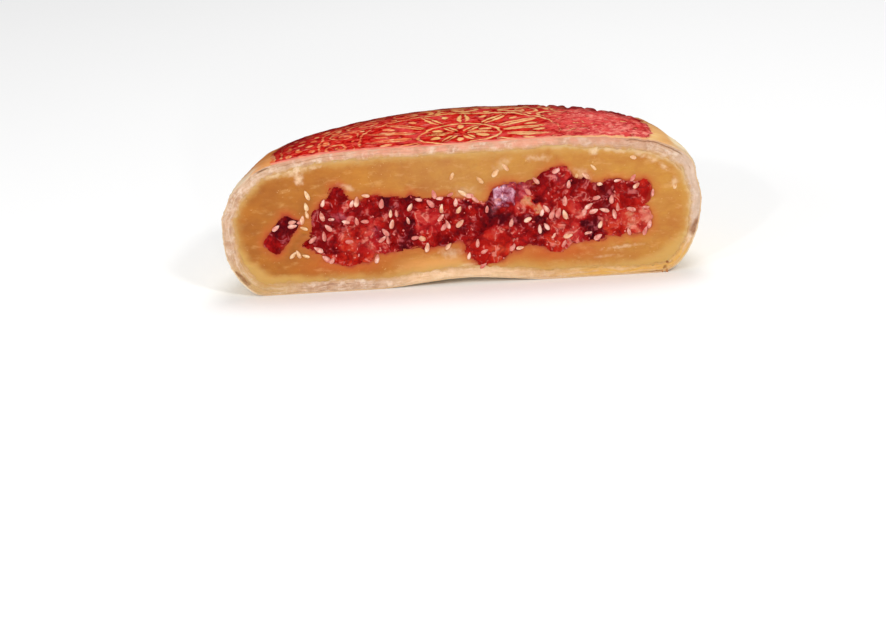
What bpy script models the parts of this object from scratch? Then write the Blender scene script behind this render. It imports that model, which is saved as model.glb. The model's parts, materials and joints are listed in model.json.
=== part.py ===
"""Half of a round filled pastry cake: flaky crust, bean paste, and a candied fruit and seed filling.

The whole round cake is modelled about its own upright middle axis. A knife block then takes the
front half away, which leaves every layer open at one flat cut face that looks along -Y.
Metres, +Z up. The origin is at the middle of the half cake's box, on the surface it rests on.
"""

import math
import random

import bmesh
import bpy
from mathutils import Matrix, Vector

MM = 0.001

# Driving dimensions of the whole cake
CAKE_RADIUS = 75 * MM
CAKE_HEIGHT = 45.6 * MM
CUT_Y = -CAKE_RADIUS / 2  # the cut face; the cake's own middle axis lies in it
GAP = 0.3 * MM  # air left between neighbouring solids

# The side wall differs between the left end (-X) and the right end (+X), which each pair gives
EQUATOR_HEIGHT = (19.3 * MM, 26.1 * MM)  # height of the widest ring
FOOT_RADIUS = (62 * MM, 60.4 * MM)  # edge of the flat base
# Superellipse powers of the shoulder: a high one for the radius keeps the top flat, and one for
# the height keeps the wall upright. The crust is thicker at the right shoulder.
OUTER_SHOULDER = ((4.2, 3.1), (3.9, 3.9))
INNER_SHOULDER = ((3.9, 3.9), (3.6, 2.6))
HOLLOW_RADIUS = 28 * MM  # shallow dimple under the middle of the base
HOLLOW_DEPTH = 2.0 * MM
HAND_FORMED = 0.7 * MM  # how far the rim wanders from a true circle

# Crust thickness
CRUST_SIDE = 4.2 * MM
CRUST_TOP = 3.3 * MM
CRUST_BASE = 4.1 * MM
INNER_FOOT_INSET = 2.5 * MM

# The mix of small candied fruit and seeds, a flat cake of its own inside the paste
MIX_RADIUS = (46.5 * MM, 58.2 * MM)
MIX_MIDDLE_HEIGHT = (19.2 * MM, 21.7 * MM)
MIX_HALF_HEIGHT = 9.2 * MM
MIX_POWER = 2.9
MIX_WAVES = 1.1 * MM  # how uneven its top and bottom are

# Facets
OUTER_STEPS = 80  # round the whole cake
INNER_STEPS = 64
BASE_STEPS = 5
LOWER_SIDE_STEPS = 7
UPPER_SIDE_STEPS = 13
MIX_STEPS = 58
MIX_RINGS = 14

# Diced pieces that show at the cut: middle (x, z), size (wide, deep, high), tilt, all in mm and
# degrees, and whether the piece is a round lump or a cube. Tilt is anticlockwise, seen from the front.
CHUNKS = {
    "chunk_far_left": ((-56.3, 19.6), (7.4, 9, 15.0), -38, "cube"),
    "chunk_small_top": ((-38.6, 32.0), (6.0, 6, 5.2), 20, "lump"),
    "chunk_left_dark": ((-44.0, 18.0), (7.6, 9, 9.6), 24, "cube"),
    "chunk_left_bright": ((-34.0, 13.6), (10.6, 10, 9.0), -8, "lump"),
    "chunk_left_deep": ((-29.2, 24.2), (9.4, 9, 8.4), 10, "cube"),
    "chunk_plum": ((-17.6, 19.2), (4.6, 7, 11.9), -4, "cube"),
    "chunk_rose_cube": ((-10.2, 21.2), (8.8, 9, 9.0), 5, "cube"),
    "chunk_middle_low": ((-6.8, 14.2), (9.4, 8, 4.0), 4, "cube"),
    "chunk_middle_dark": ((4.7, 22.4), (8.2, 9, 7.1), -3, "cube"),
    "chunk_big_red": ((9.2, 11.9), (15.2, 12, 11.9), 16, "lump"),
    "chunk_lilac": ((13.9, 27.4), (7.6, 8, 7.1), -2, "cube"),
    "chunk_tan_sliver": ((20.9, 25.0), (5.4, 6, 3.1), -24, "cube"),
    "chunk_lower_dark": ((21.6, 15.7), (6.2, 8, 7.7), 6, "cube"),
    "chunk_round_red": ((28.6, 29.5), (10.0, 10, 12.5), -14, "lump"),
    "chunk_right_deep": ((38.6, 27.2), (9.4, 9, 6.9), 2, "cube"),
    "chunk_right_bright": ((31.6, 15.0), (9.6, 9, 7.5), 12, "lump"),
    "chunk_black_fruit": ((40.4, 16.9), (5.8, 7, 6.9), 0, "lump"),
    "chunk_right_end": ((54.3, 26.3), (11.2, 10, 9.0), 8, "cube"),
    "chunk_right_orange": ((47.2, 16.1), (5.6, 7, 6.1), -10, "cube"),
    "chunk_right_salmon": ((55.0, 16.5), (7.4, 8, 7.9), 14, "lump"),
}
CHUNK_DEPTH_SHIFT = 1.2 * MM  # how far behind the cut a diced piece has its middle
CORNER_JITTER = 0.13  # of the piece's size
EDGE_ROUNDING = 0.9 * MM
LUMP_JITTER = 0.06

COLOURS = {
    "crust": ((0.82, 0.62, 0.42), 0.6),
    "bean_paste": ((0.60, 0.33, 0.09), 0.45),
    "fruit_mix": ((0.42, 0.03, 0.03), 0.35),
    "chunk": ((0.45, 0.04, 0.03), 0.25),
}


def clear_scene():
    for obj in list(bpy.data.objects):
        bpy.data.objects.remove(obj)


def material(name):
    """One Principled material for each kind of sub-part."""
    found = bpy.data.materials.get(name)
    if found:
        return found
    colour, roughness = COLOURS[name]
    made = bpy.data.materials.new(name)
    made.use_nodes = True
    shader = made.node_tree.nodes["Principled BSDF"]
    shader.inputs["Base Color"].default_value = (*colour, 1)
    shader.inputs["Roughness"].default_value = roughness
    shader.inputs["Metallic"].default_value = 0
    return made


def blend(pair, share):
    return pair[0] + (pair[1] - pair[0]) * share


def rim_wander(angle):
    """Hand-formed unevenness of the rim. It is nothing at the cake's ends and back."""
    return HAND_FORMED * math.sin(2 * angle) ** 2 * math.sin(3 * angle + 0.6)


def layer_profile(angle, shoulder, insets=(0, 0, 0, 0), hollow=0.0):
    """(radius, height) points of a layer's outline at this angle, from under its middle to its top.

    The insets say how far the layer lies inside the cake's outer surface at its side, its top, its
    base and the edge of its base.
    """
    side_inset, top_inset, base_inset, foot_inset = insets
    share = (1 + math.cos(angle)) / 2
    radius = CAKE_RADIUS + rim_wander(angle) - side_inset
    foot = blend(FOOT_RADIUS, share) - foot_inset
    equator = blend(EQUATOR_HEIGHT, share)
    across, upright = (blend(pair, share) for pair in zip(*shoulder))
    points = []
    for step in range(BASE_STEPS):
        r = foot * step / BASE_STEPS
        rise = max(0.0, 1 - (r / HOLLOW_RADIUS) ** 2) ** 2
        points.append((r, base_inset + hollow * rise))
    for step in range(LOWER_SIDE_STEPS):
        turn = math.pi / 2 * step / LOWER_SIDE_STEPS
        r = foot + (radius - foot) * math.sin(turn)
        points.append((r, equator - (equator - base_inset) * math.cos(turn)))
    top = CAKE_HEIGHT - top_inset
    for step in range(UPPER_SIDE_STEPS + 1):
        turn = math.pi / 2 * step / UPPER_SIDE_STEPS
        r = radius * max(0.0, math.cos(turn)) ** (2 / across)
        points.append((r, equator + (top - equator) * math.sin(turn) ** (2 / upright)))
    points[-1] = (0.0, top)
    return points


def mix_profile(angle, grow):
    """(radius, height) points of the fruit mix, from under its middle to its top."""
    radius = blend(MIX_RADIUS, (1 + math.cos(angle)) / 2) + 1.5 * MM * math.sin(5 * angle + 1) + grow
    half = MIX_HALF_HEIGHT + grow
    points = []
    for step in range(MIX_RINGS + 1):
        turn = math.pi * (step / MIX_RINGS - 0.5)
        r = radius * max(0.0, math.cos(turn)) ** (2 / MIX_POWER)
        z = math.copysign(half * abs(math.sin(turn)) ** (2 / MIX_POWER), turn)
        middle = blend(MIX_MIDDLE_HEIGHT, (1 + r * math.cos(angle) / radius) / 2)
        ripple = math.sin(r / (6 * MM) + 3 * angle) * math.cos(turn) * r / radius
        points.append((r, middle + z + MIX_WAVES * ripple))
    return points


def round_body(name, steps, profile):
    """A closed round mesh about the cake's middle axis. profile(angle) runs bottom to top."""
    mesh = bpy.data.meshes.new(name)
    bm = bmesh.new()
    rows = []
    for index in range(steps):
        # Half a step on, so that the knife's face passes between two rows
        angle = 2 * math.pi * (index + 0.5) / steps
        outline = profile(angle)
        rows.append(
            [
                bm.verts.new((r * math.cos(angle), CUT_Y + r * math.sin(angle), z))
                for r, z in outline[1:-1]
            ]
        )
    bottom = bm.verts.new((0, CUT_Y, profile(0)[0][1]))
    top = bm.verts.new((0, CUT_Y, profile(0)[-1][1]))
    for index, row in enumerate(rows):
        after = rows[(index + 1) % steps]
        bm.faces.new((bottom, after[0], row[0]))
        for low in range(len(row) - 1):
            bm.faces.new((row[low], after[low], after[low + 1], row[low + 1]))
        bm.faces.new((row[-1], after[-1], top))
    # Flat triangles, so that one cut after another meets the same surface
    bmesh.ops.triangulate(bm, faces=bm.faces[:])
    bmesh.ops.recalc_face_normals(bm, faces=bm.faces)
    bm.to_mesh(mesh)
    bm.free()
    return link(name, mesh)


def link(name, mesh):
    obj = bpy.data.objects.new(name, mesh)
    bpy.context.scene.collection.objects.link(obj)
    return obj


def outer_body(name):
    return round_body(
        name, OUTER_STEPS, lambda angle: layer_profile(angle, OUTER_SHOULDER, hollow=HOLLOW_DEPTH)
    )


def inner_body(name, extra):
    """What the crust holds, made smaller by extra all round."""
    insets = (
        CRUST_SIDE + extra,
        CRUST_TOP + extra,
        CRUST_BASE + extra,
        INNER_FOOT_INSET + extra,
    )
    return round_body(name, INNER_STEPS, lambda angle: layer_profile(angle, INNER_SHOULDER, insets))


def chunk_shape(name, seed, grow):
    """One diced piece, uncut. grow makes it larger all round, for the pocket that holds it."""
    (x, z), size, tilt, kind = CHUNKS[name]
    whims = random.Random(seed)
    sides = Vector(size) * MM + Vector((2, 2, 2)) * grow
    bm = bmesh.new()
    if kind == "cube":
        bmesh.ops.create_cube(bm, size=1)
        for vert in bm.verts:
            for axis in range(3):
                vert.co[axis] *= 1 + whims.uniform(-2, 0) * CORNER_JITTER
        bmesh.ops.scale(bm, vec=sides, verts=bm.verts)
        bmesh.ops.bevel(
            bm,
            geom=bm.edges[:],
            offset=EDGE_ROUNDING,
            segments=1,
            affect="EDGES",
            clamp_overlap=True,
        )
    else:
        bmesh.ops.create_icosphere(bm, subdivisions=2, radius=0.5)
        for vert in bm.verts:
            vert.co *= 1 + whims.uniform(-1, 0) * LUMP_JITTER
        bmesh.ops.scale(bm, vec=sides, verts=bm.verts)
    # The same diagonals in a piece and in its pocket, so that the gap between them stays even
    bmesh.ops.triangulate(bm, faces=bm.faces[:], quad_method="FIXED")
    # Seen from the front, a turn about +Y is clockwise for a positive angle.
    turn = Matrix.Rotation(math.radians(-tilt), 4, "Y")
    place = Matrix.Translation((x * MM, CUT_Y + CHUNK_DEPTH_SHIFT, z * MM))
    bmesh.ops.transform(bm, matrix=place @ turn, verts=bm.verts)
    bmesh.ops.recalc_face_normals(bm, faces=bm.faces)
    mesh = bpy.data.meshes.new(name)
    bm.to_mesh(mesh)
    bm.free()
    return mesh


def as_cutter(obj):
    obj.hide_render = True
    obj.display_type = "WIRE"
    return obj


def take_away(obj, cutter):
    cut = obj.modifiers.new("cut_" + cutter.name, "BOOLEAN")
    cut.operation = "DIFFERENCE"
    cut.solver = "EXACT"
    cut.object = cutter


def make_knife():
    """The block that removes the front half of the cake, a little larger than that half."""
    margin = 10 * MM
    size = Vector((2 * (CAKE_RADIUS + margin), CAKE_RADIUS + margin, CAKE_HEIGHT + 2 * margin))
    bm = bmesh.new()
    bmesh.ops.create_cube(bm, size=1)
    bmesh.ops.scale(bm, vec=size, verts=bm.verts)
    middle = (0, CUT_Y - size.y / 2, CAKE_HEIGHT / 2)
    bmesh.ops.translate(bm, vec=middle, verts=bm.verts)
    mesh = bpy.data.meshes.new("knife")
    bm.to_mesh(mesh)
    bm.free()
    return as_cutter(link("knife", mesh))


def make_pockets():
    """One cutter for each diced piece, with the air gap round it."""
    return [
        as_cutter(link("pocket_" + name, chunk_shape(name, seed, GAP)))
        for seed, name in enumerate(CHUNKS)
    ]


def finish(obj, kind):
    obj.data.materials.append(material(kind))
    obj.data.shade_smooth()
    obj.data.set_sharp_from_angle(angle=math.radians(35))


def make_crust(knife):
    crust = outer_body("crust")
    inside = as_cutter(inner_body("crust_inside", 0))
    take_away(crust, inside)
    take_away(crust, knife)
    finish(crust, "crust")


def make_paste(knife, pockets):
    paste = inner_body("bean_paste", GAP)
    room = as_cutter(round_body("mix_room", MIX_STEPS, lambda angle: mix_profile(angle, GAP)))
    for cutter in (knife, room, *pockets):
        take_away(paste, cutter)
    finish(paste, "bean_paste")


def make_mix(knife, pockets):
    mix = round_body("fruit_mix", MIX_STEPS, lambda angle: mix_profile(angle, 0))
    for cutter in (knife, *pockets):
        take_away(mix, cutter)
    finish(mix, "fruit_mix")


def make_chunks(knife):
    for seed, name in enumerate(CHUNKS):
        chunk = link(name, chunk_shape(name, seed, 0))
        take_away(chunk, knife)
        finish(chunk, "chunk")


def main():
    clear_scene()
    knife = make_knife()
    pockets = make_pockets()
    make_crust(knife)
    make_paste(knife, pockets)
    make_mix(knife, pockets)
    make_chunks(knife)


main()
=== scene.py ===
"""Looks of the cut half of a round pastry cake: flaky crust, bean paste, candied fruit and sesame.

Lengths are millimetres in the row frame, +Z up, with the cut face towards -Y. They become metres
where a mesh is made. Angles round the cake run from +X over the back (+Y) to -X.
"""

import itertools
import json
import math
import random

import bpy
import numpy as np
from mathutils import Matrix, Vector


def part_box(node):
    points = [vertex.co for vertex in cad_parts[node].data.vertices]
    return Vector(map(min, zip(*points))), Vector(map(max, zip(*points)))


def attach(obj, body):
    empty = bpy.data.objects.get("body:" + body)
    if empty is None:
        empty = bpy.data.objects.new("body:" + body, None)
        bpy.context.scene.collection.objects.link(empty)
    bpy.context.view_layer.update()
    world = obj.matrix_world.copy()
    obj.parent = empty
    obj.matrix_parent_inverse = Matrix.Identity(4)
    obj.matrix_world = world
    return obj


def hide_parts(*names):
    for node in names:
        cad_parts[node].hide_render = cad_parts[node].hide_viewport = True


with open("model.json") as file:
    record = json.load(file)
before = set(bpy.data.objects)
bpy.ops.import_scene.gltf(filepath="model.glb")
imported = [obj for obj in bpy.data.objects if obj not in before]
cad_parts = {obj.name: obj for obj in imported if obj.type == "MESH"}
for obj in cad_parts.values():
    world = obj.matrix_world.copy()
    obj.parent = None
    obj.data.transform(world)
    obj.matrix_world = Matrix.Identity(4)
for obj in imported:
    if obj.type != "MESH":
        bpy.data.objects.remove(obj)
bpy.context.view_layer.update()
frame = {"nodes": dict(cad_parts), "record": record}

MM = 0.001

# The cake's form, as in the CAD model. A pair gives the left end (-X) and the right end (+X).
crust_low, crust_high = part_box("crust")
RADIUS = (crust_high.x - crust_low.x) / 2 / MM
HEIGHT = crust_high.z / MM
CUT = crust_low.y / MM
EQUATOR_HEIGHT = (19.3, 26.1)
FOOT_RADIUS = (62.0, 60.4)
SHOULDER_ACROSS = (4.2, 3.9)
SHOULDER_UPRIGHT = (3.1, 3.9)
HOLLOW_RADIUS = 28.0
HOLLOW_DEPTH = 2.0
HAND_FORMED = 0.7

# The photograph looks down on the cut face, so heights read off it are this much lower than real
UPRIGHT = 1.045

# The photograph's framing
PHOTO_WIDTH, PHOTO_HEIGHT = 886, 640
ANCHOR = Vector((0, CUT, 24.6 * UPRIGHT)) * MM  # the point of the cut face that ANCHOR_PIXEL shows
ANCHOR_PIXEL = (460, 205)
CAMERA_AZIMUTH = 1.8
CAMERA_ELEVATION = 15.1
CAMERA_ROLL = 3.95
CAMERA_DISTANCE = 1.0
CAKE_PIXELS = 481.5  # the cut face's width in the photograph
SENSOR = 36.0


# ---- numbers and noise


def srgb(red, green, blue):
    """A colour as a screen shows it, 0 to 255, as linear RGBA."""
    linear = [((c / 255 + 0.055) / 1.055) ** 2.4 if c > 10 else c / 255 / 12.92 for c in (red, green, blue)]
    return (*linear, 1)


def blend(pair, share):
    return pair[0] + (pair[1] - pair[0]) * share


def smooth_step(low, high, value):
    t = np.clip((value - low) / (high - low), 0, 1)
    return t * t * (3 - 2 * t)


whim = np.random.default_rng(7)
GRADIENTS = whim.normal(size=(256, 3))
GRADIENTS /= np.linalg.norm(GRADIENTS, axis=1, keepdims=True)
ORDER = whim.permutation(256)


def gradient_noise(points):
    """Smooth noise, about -1 to 1, with a wavelength of about 1."""
    cell = np.floor(points).astype(int)
    local = points - cell
    fade = local**3 * (local * (local * 6 - 15) + 10)
    total = np.zeros(len(points))
    for corner in itertools.product((0, 1), repeat=3):
        x, y, z = ((cell + corner) & 255).T
        gradient = GRADIENTS[ORDER[(ORDER[(ORDER[x] + y) & 255] + z) & 255]]
        weight = np.prod(np.where(corner, fade, 1 - fade), axis=1)
        total += weight * np.sum(gradient * (local - corner), axis=1)
    return total * 1.6


def rough(points, scale, octaves=3, seed=0):
    """Fractal noise, about -1 to 1, at points. Its largest lumps are about scale wide."""
    moved = points / scale + np.array((17.3, 5.1, -9.7)) * (seed + 1)
    return sum(gradient_noise(moved * 2**step) * 0.5**step for step in range(octaves))


def flat_points(x, z):
    """Points of the cut face."""
    return np.stack([x, np.full_like(x, CUT), z], axis=-1)


# ---- meshes


def add_object(name, data):
    made = bpy.data.objects.new(name, data)
    bpy.context.scene.collection.objects.link(made)
    return made


def make_piece(name, points, faces, material, slot, **values):
    """A smooth mesh piece from points in millimetres. values become float attributes of its points."""
    mesh = bpy.data.meshes.new(name)
    mesh.from_pydata((np.asarray(points) * MM).tolist(), [], faces)
    for key, value in values.items():
        mesh.attributes.new(key, "FLOAT", "POINT").data.foreach_set("value", np.asarray(value, np.float32))
    mesh.materials.append(material)
    mesh.shade_smooth()
    piece = add_object(name, mesh)
    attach(piece, "root")
    return piece


def grid_faces(rows, columns, closed=False):
    """Quads of a grid of points, row after row. A closed grid joins each row's end to its start."""
    faces = []
    for row in range(rows - 1):
        for column in range(columns if closed else columns - 1):
            after = (column + 1) % columns
            a, b = row * columns + column, row * columns + after
            faces.append((a, b, b + columns, a + columns))
    return faces


def border_edges(faces):
    """Directed edges that only one face has."""
    found = {}
    for face in faces:
        for start, end in zip(face, (*face[1:], face[0])):
            if found.pop((end, start), None) is None:
                found[(start, end)] = True
    return list(found)


def make_slab(name, points, faces, back, material, slot, **values):
    """A piece with this open front surface: a copy of it at y = back, and walls along its borders."""
    count = len(points)
    behind = points.copy()
    behind[:, 1] = back
    backs = [tuple(index + count for index in reversed(face)) for face in faces]
    walls = [(end, start, start + count, end + count) for start, end in border_edges(faces)]
    values = {key: np.tile(value, 2) for key, value in values.items()}
    points = np.concatenate([points, behind])
    return make_piece(name, points, faces + backs + walls, material, slot, **values)


def join_copies(copies, faces):
    """One mesh of many that have the same faces, each given by its points."""
    count = len(copies[0])
    joined = [tuple(i + number * count for i in face) for number in range(len(copies)) for face in faces]
    return np.concatenate(copies), joined


def resample(line, count):
    """count points at even steps along a closed line of points."""
    loop = np.concatenate([line, line[:1]])
    along = np.concatenate([[0], np.cumsum(np.linalg.norm(np.diff(loop, axis=0), axis=1))])
    steps = np.linspace(0, along[-1], count, endpoint=False)
    return np.stack([np.interp(steps, along, loop[:, axis]) for axis in range(loop.shape[1])], axis=-1)


def soften(line, reach):
    """A closed line with each point moved to the mean of its neighbours up to reach steps away."""
    return sum(np.roll(line, step, axis=0) for step in range(-reach, reach + 1)) / (2 * reach + 1)


def inward(line):
    """Unit vectors into a closed line of (x, z) points that runs anticlockwise."""
    along = np.roll(line, -1, axis=0) - np.roll(line, 1, axis=0)
    along /= np.linalg.norm(along, axis=1, keepdims=True)
    return np.stack([-along[:, 1], along[:, 0]], axis=-1)


def distance_inside(x, z, line):
    """Distance of points (x, z) to a closed line, negative inside it."""
    best = np.full(x.shape, 1e9)
    inside = np.zeros(x.shape, bool)
    for (ax, az), (bx, bz) in zip(line, np.roll(line, -1, axis=0)):
        ex, ez = bx - ax, bz - az
        share = np.clip(((x - ax) * ex + (z - az) * ez) / (ex * ex + ez * ez), 0, 1)
        best = np.minimum(best, np.hypot(x - ax - share * ex, z - az - share * ez))
        if az != bz:
            crosses = (az > z) != (bz > z)
            inside ^= crosses & (x < ax + (z - az) * ex / ez)
    return np.where(inside, -best, best)


# ---- materials


class Field:
    """A node's output, which varies over the surface. Arithmetic with it adds nodes."""

    def __init__(self, paint, node, output):
        self.paint = paint
        self.socket = node.outputs[output]

    def math(self, operation, other=0.0):
        return self.paint.field(0, "Math", {0: self, 1: other}, operation=operation)

    def __add__(self, other):
        return self.math("ADD", other)

    def __sub__(self, other):
        return self.math("SUBTRACT", other)

    def __mul__(self, other):
        return self.math("MULTIPLY", other)

    def __abs__(self):
        return self.math("ABSOLUTE")

    def span(self, low, high, to_low=0.0, to_high=1.0):
        """This value from low to high, turned smoothly into to_low to to_high."""
        inputs = {"Value": self, "From Min": low, "From Max": high, "To Min": to_low, "To Max": to_high}
        return self.paint.field("Result", "MapRange", inputs, interpolation_type="SMOOTHSTEP")

    def ramp(self, *stops):
        """The colours that this value stands for, by stops (value, red, green, blue)."""
        made = self.paint.node("ValToRGB", {"Fac": self})
        band = made.color_ramp
        while len(band.elements) < len(stops):
            band.elements.new(0.5)
        for element, (where, *colour) in zip(band.elements, stops):
            element.position = where
            element.color = srgb(*colour)
        return Field(self.paint, made, "Color")

    def lay(self, share, colour, how="MIX"):
        """Lays a share of another colour over this one."""
        self.socket = self.paint.mix(share, self, colour, how).socket

    def bump(self, depth, before=None):
        """A normal from this height of 0 to 1, which stands for depth millimetres."""
        inputs = {"Height": self, "Distance": depth * MM}
        if before is not None:
            inputs["Normal"] = before
        return self.paint.field("Normal", "Bump", inputs)


class Paint:
    """Builds one Principled material."""

    def __init__(self, name, roughness=0.5, specular=0.5, soaking=None):
        """soaking is the light that soaks in: its share, depth in millimetres and each colour's reach."""
        self.material = bpy.data.materials.new(name)
        self.material.use_nodes = True
        self.tree = self.material.node_tree
        self.shader = self.tree.nodes["Principled BSDF"]
        self.shader.inputs["Roughness"].default_value = roughness
        self.shader.inputs["Specular IOR Level"].default_value = specular
        if soaking:
            share, depth, reach = soaking
            self.shader.inputs["Subsurface Weight"].default_value = share
            self.shader.inputs["Subsurface Scale"].default_value = depth * MM
            self.shader.inputs["Subsurface Radius"].default_value = reach
        self.place = self.field("Object", "TexCoord")

    def node(self, kind, inputs=(), **settings):
        made = self.tree.nodes.new("ShaderNode" + kind)
        for key, value in settings.items():
            setattr(made, key, value)
        for key, value in dict(inputs).items():
            if isinstance(value, Field):
                self.tree.links.new(value.socket, made.inputs[key])
            else:
                made.inputs[key].default_value = value
        return made

    def field(self, output, kind, inputs=(), **settings):
        return Field(self, self.node(kind, inputs, **settings), output)

    def position(self, stretch=(1, 1, 1)):
        """Object coordinates in millimetres, each axis divided by stretch."""
        return self.field("Vector", "Mapping", {"Vector": self.place, "Scale": [1 / MM / s for s in stretch]})

    def axis(self, name):
        """One coordinate, in millimetres."""
        return self.field(name, "SeparateXYZ", {"Vector": self.position()})

    def attribute(self, name):
        return self.field("Fac", "Attribute", attribute_name=name)

    def noise(self, scale, detail=3.0, stretch=(1, 1, 1), roughness=0.55, distortion=0.0):
        """Noise from 0 to 1 whose lumps are about scale wide."""
        inputs = {"Vector": self.position(stretch), "Scale": 1 / scale, "Detail": detail}
        inputs |= {"Roughness": roughness, "Distortion": distortion}
        return self.field("Fac", "TexNoise", inputs)

    def mix(self, share, first, second, how="MIX"):
        """A share of the second colour over the first. Each is a field or (red, green, blue)."""
        first, second = (colour if isinstance(colour, Field) else srgb(*colour) for colour in (first, second))
        return self.field(2, "Mix", {0: share, 6: first, 7: second}, data_type="RGBA", blend_type=how)

    def finish(self, colour, roughness=None, normal=None):
        for key, field in (("Base Color", colour), ("Roughness", roughness), ("Normal", normal)):
            if field is not None:
                self.tree.links.new(field.socket, self.shader.inputs[key])
        return self.material


# ---- the skin's form

TOP_RING_STEP = 0.4
TOP_EDGE = 60.0  # radius where the flat top meets the shoulder
SHOULDER_RINGS = 38
SIDE_RINGS = 32
BASE_RINGS = 36
FULL_COLUMNS = 512
FEWEST_COLUMNS = 8
HALVING_RADIUS = 32.4  # inside it a ring has half the columns, inside half of it a quarter, and so on
LIP = 0.55  # the skin's thickness where it shows at the cut
LIP_DEPTH = 0.25  # how far behind the cut the lip's inner edge lies
RECESS = 3.0  # how deep the skin's mesh is hollowed behind the cut for the layers within
TOP_FROM = 0.7  # the share of the height above which the skin may carry ink
BROW_TILT = math.radians(15.5)


def ring_points(angles, part, value):
    """One ring of the cake's outer surface. value runs 0 to 1 down each part, and is a radius on top."""
    share = (1 + np.cos(angles)) / 2
    radius = RADIUS + HAND_FORMED * np.sin(2 * angles) ** 2 * np.sin(3 * angles + 0.6)
    pairs = (FOOT_RADIUS, EQUATOR_HEIGHT, SHOULDER_ACROSS, SHOULDER_UPRIGHT)
    foot, equator, across, upright = (blend(pair, share) for pair in pairs)
    if part == "top":
        r = value * radius / RADIUS
        z = equator + (HEIGHT - equator) * (1 - (r / radius) ** across) ** (1 / upright)
    elif part == "shoulder":
        start = np.arccos((TOP_EDGE / RADIUS) ** (across / 2))
        turn = start * (1 - value)
        r = radius * np.cos(turn) ** (2 / across)
        z = equator + (HEIGHT - equator) * np.sin(turn) ** (2 / upright)
    elif part == "side":
        turn = math.pi / 2 * (1 - value)
        r = foot + (radius - foot) * np.sin(turn)
        z = equator * (1 - np.cos(turn))
    else:
        r = foot * (1 - value)
        z = HOLLOW_DEPTH * np.clip(1 - (r / HOLLOW_RADIUS) ** 2, 0, 1) ** 2
    return np.stack([r * np.cos(angles), CUT + r * np.sin(angles), z], axis=-1)


def even_values(part, count):
    """Values down a part that give even steps, without its start."""
    fine = np.linspace(0, 1, 400)
    angle = np.array([math.pi / 2])
    line = np.concatenate([ring_points(angle, part, value) for value in fine])
    along = np.concatenate([[0], np.cumsum(np.linalg.norm(np.diff(line, axis=0), axis=1))])
    return np.interp(np.linspace(0, along[-1], count + 1)[1:], along, fine)


def columns_at(radius):
    """How many columns a ring of this radius has: fewer towards the middle, always halved."""
    columns = FULL_COLUMNS
    while columns > FEWEST_COLUMNS and radius < HALVING_RADIUS * columns / FULL_COLUMNS:
        columns //= 2
    return columns


def skin_rings():
    """(part, value, columns) from next to the top's middle to next to the base's."""
    radii = [index * TOP_RING_STEP for index in range(1, round(TOP_EDGE / TOP_RING_STEP) + 1)]
    rings = [("top", radius, columns_at(radius)) for radius in radii]
    for part, count in (("shoulder", SHOULDER_RINGS), ("side", SIDE_RINGS)):
        rings += [(part, value, FULL_COLUMNS) for value in even_values(part, count)]
    shares = [step / BASE_RINGS for step in range(1, BASE_RINGS)]
    return rings + [("base", share, columns_at(FOOT_RADIUS[0] * (1 - share))) for share in shares]


def join_rings(upper, upper_columns, lower, lower_columns):
    """Faces between two rings, given each ring's first index. The counts are equal, or one is double."""
    if upper_columns == lower_columns:
        return [(upper + k, lower + k, lower + k + 1, upper + k + 1) for k in range(upper_columns)]
    faces = []
    turned = upper_columns > lower_columns
    fine, coarse = (upper, lower) if turned else (lower, upper)
    for k in range(min(upper_columns, lower_columns)):
        f, c = fine + 2 * k, coarse + k
        group = [(f, f + 1, c), (f + 1, c + 1, c), (f + 1, f + 2, c + 1)]
        faces += [face[::-1] for face in group] if turned else group
    return faces


def skin_surface():
    """Points and faces of the outer surface, and the indices of its edge, anticlockwise from the front."""
    points = [np.array([[0, CUT, HEIGHT]])]
    rings = []  # each ring's first index and columns
    count = 1
    for part, value, columns in skin_rings():
        rings.append((count, columns))
        points.append(ring_points(np.linspace(0, math.pi, columns + 1), part, value))
        count += columns + 1
    points.append(np.array([[0, CUT, HOLLOW_DEPTH]]))
    first, columns = rings[0]
    faces = [(0, first + k, first + k + 1) for k in range(columns)]
    for upper, lower in itertools.pairwise(rings):
        faces += join_rings(*upper, *lower)
    last, columns = rings[-1]
    faces += [(count, last + k + 1, last + k) for k in range(columns)]
    right = [start for start, _ in rings]
    left = [start + columns for start, columns in rings]
    return np.concatenate(points), faces, [count, *reversed(right), 0, *left]


def normals_of(points, faces):
    mesh = bpy.data.meshes.new("scratch")
    mesh.from_pydata(points.tolist(), [], faces)
    found = np.empty(len(points) * 3, np.float32)
    mesh.vertex_normals.foreach_get("vector", found)
    bpy.data.meshes.remove(mesh)
    return found.reshape(-1, 3)


def skin_relief(points):
    """How far the baked skin stands out from the cake's even form."""
    x, y, z = points.T
    radius = np.hypot(x, y - CUT)
    on_top = smooth_step(34, 40, z)
    dents = 0.35 * rough(points, 34, 2, seed=1)
    puffs = 0.16 * rough(points, 7, 3, seed=2)
    edges = np.abs(rough(points * (1, 1, 2.2), 15, 3, seed=3))
    sheets = 0.22 * smooth_step(0.05, 0.0, edges) * (1 - on_top)
    grain = 0.05 * rough(points, 1.3, 2, seed=4)
    # The right part of the stamped top is rougher, and crumbles at its edge
    crumbly = smooth_step(18, 48, x) * on_top * smooth_step(66, 58, radius)
    crumbs = 0.34 * crumbly * rough(points, 2.2, 3, seed=5)
    # The shoulders are pressed in a little at both ends of the cut
    pressed = smooth_step(60, 68, np.abs(x)) * smooth_step(24, 31, z) * smooth_step(43.5, 39, z)
    relief = dents + puffs + sheets + grain + crumbs - 1.1 * pressed
    return relief * smooth_step(0.3, 4.0, z)


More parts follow.
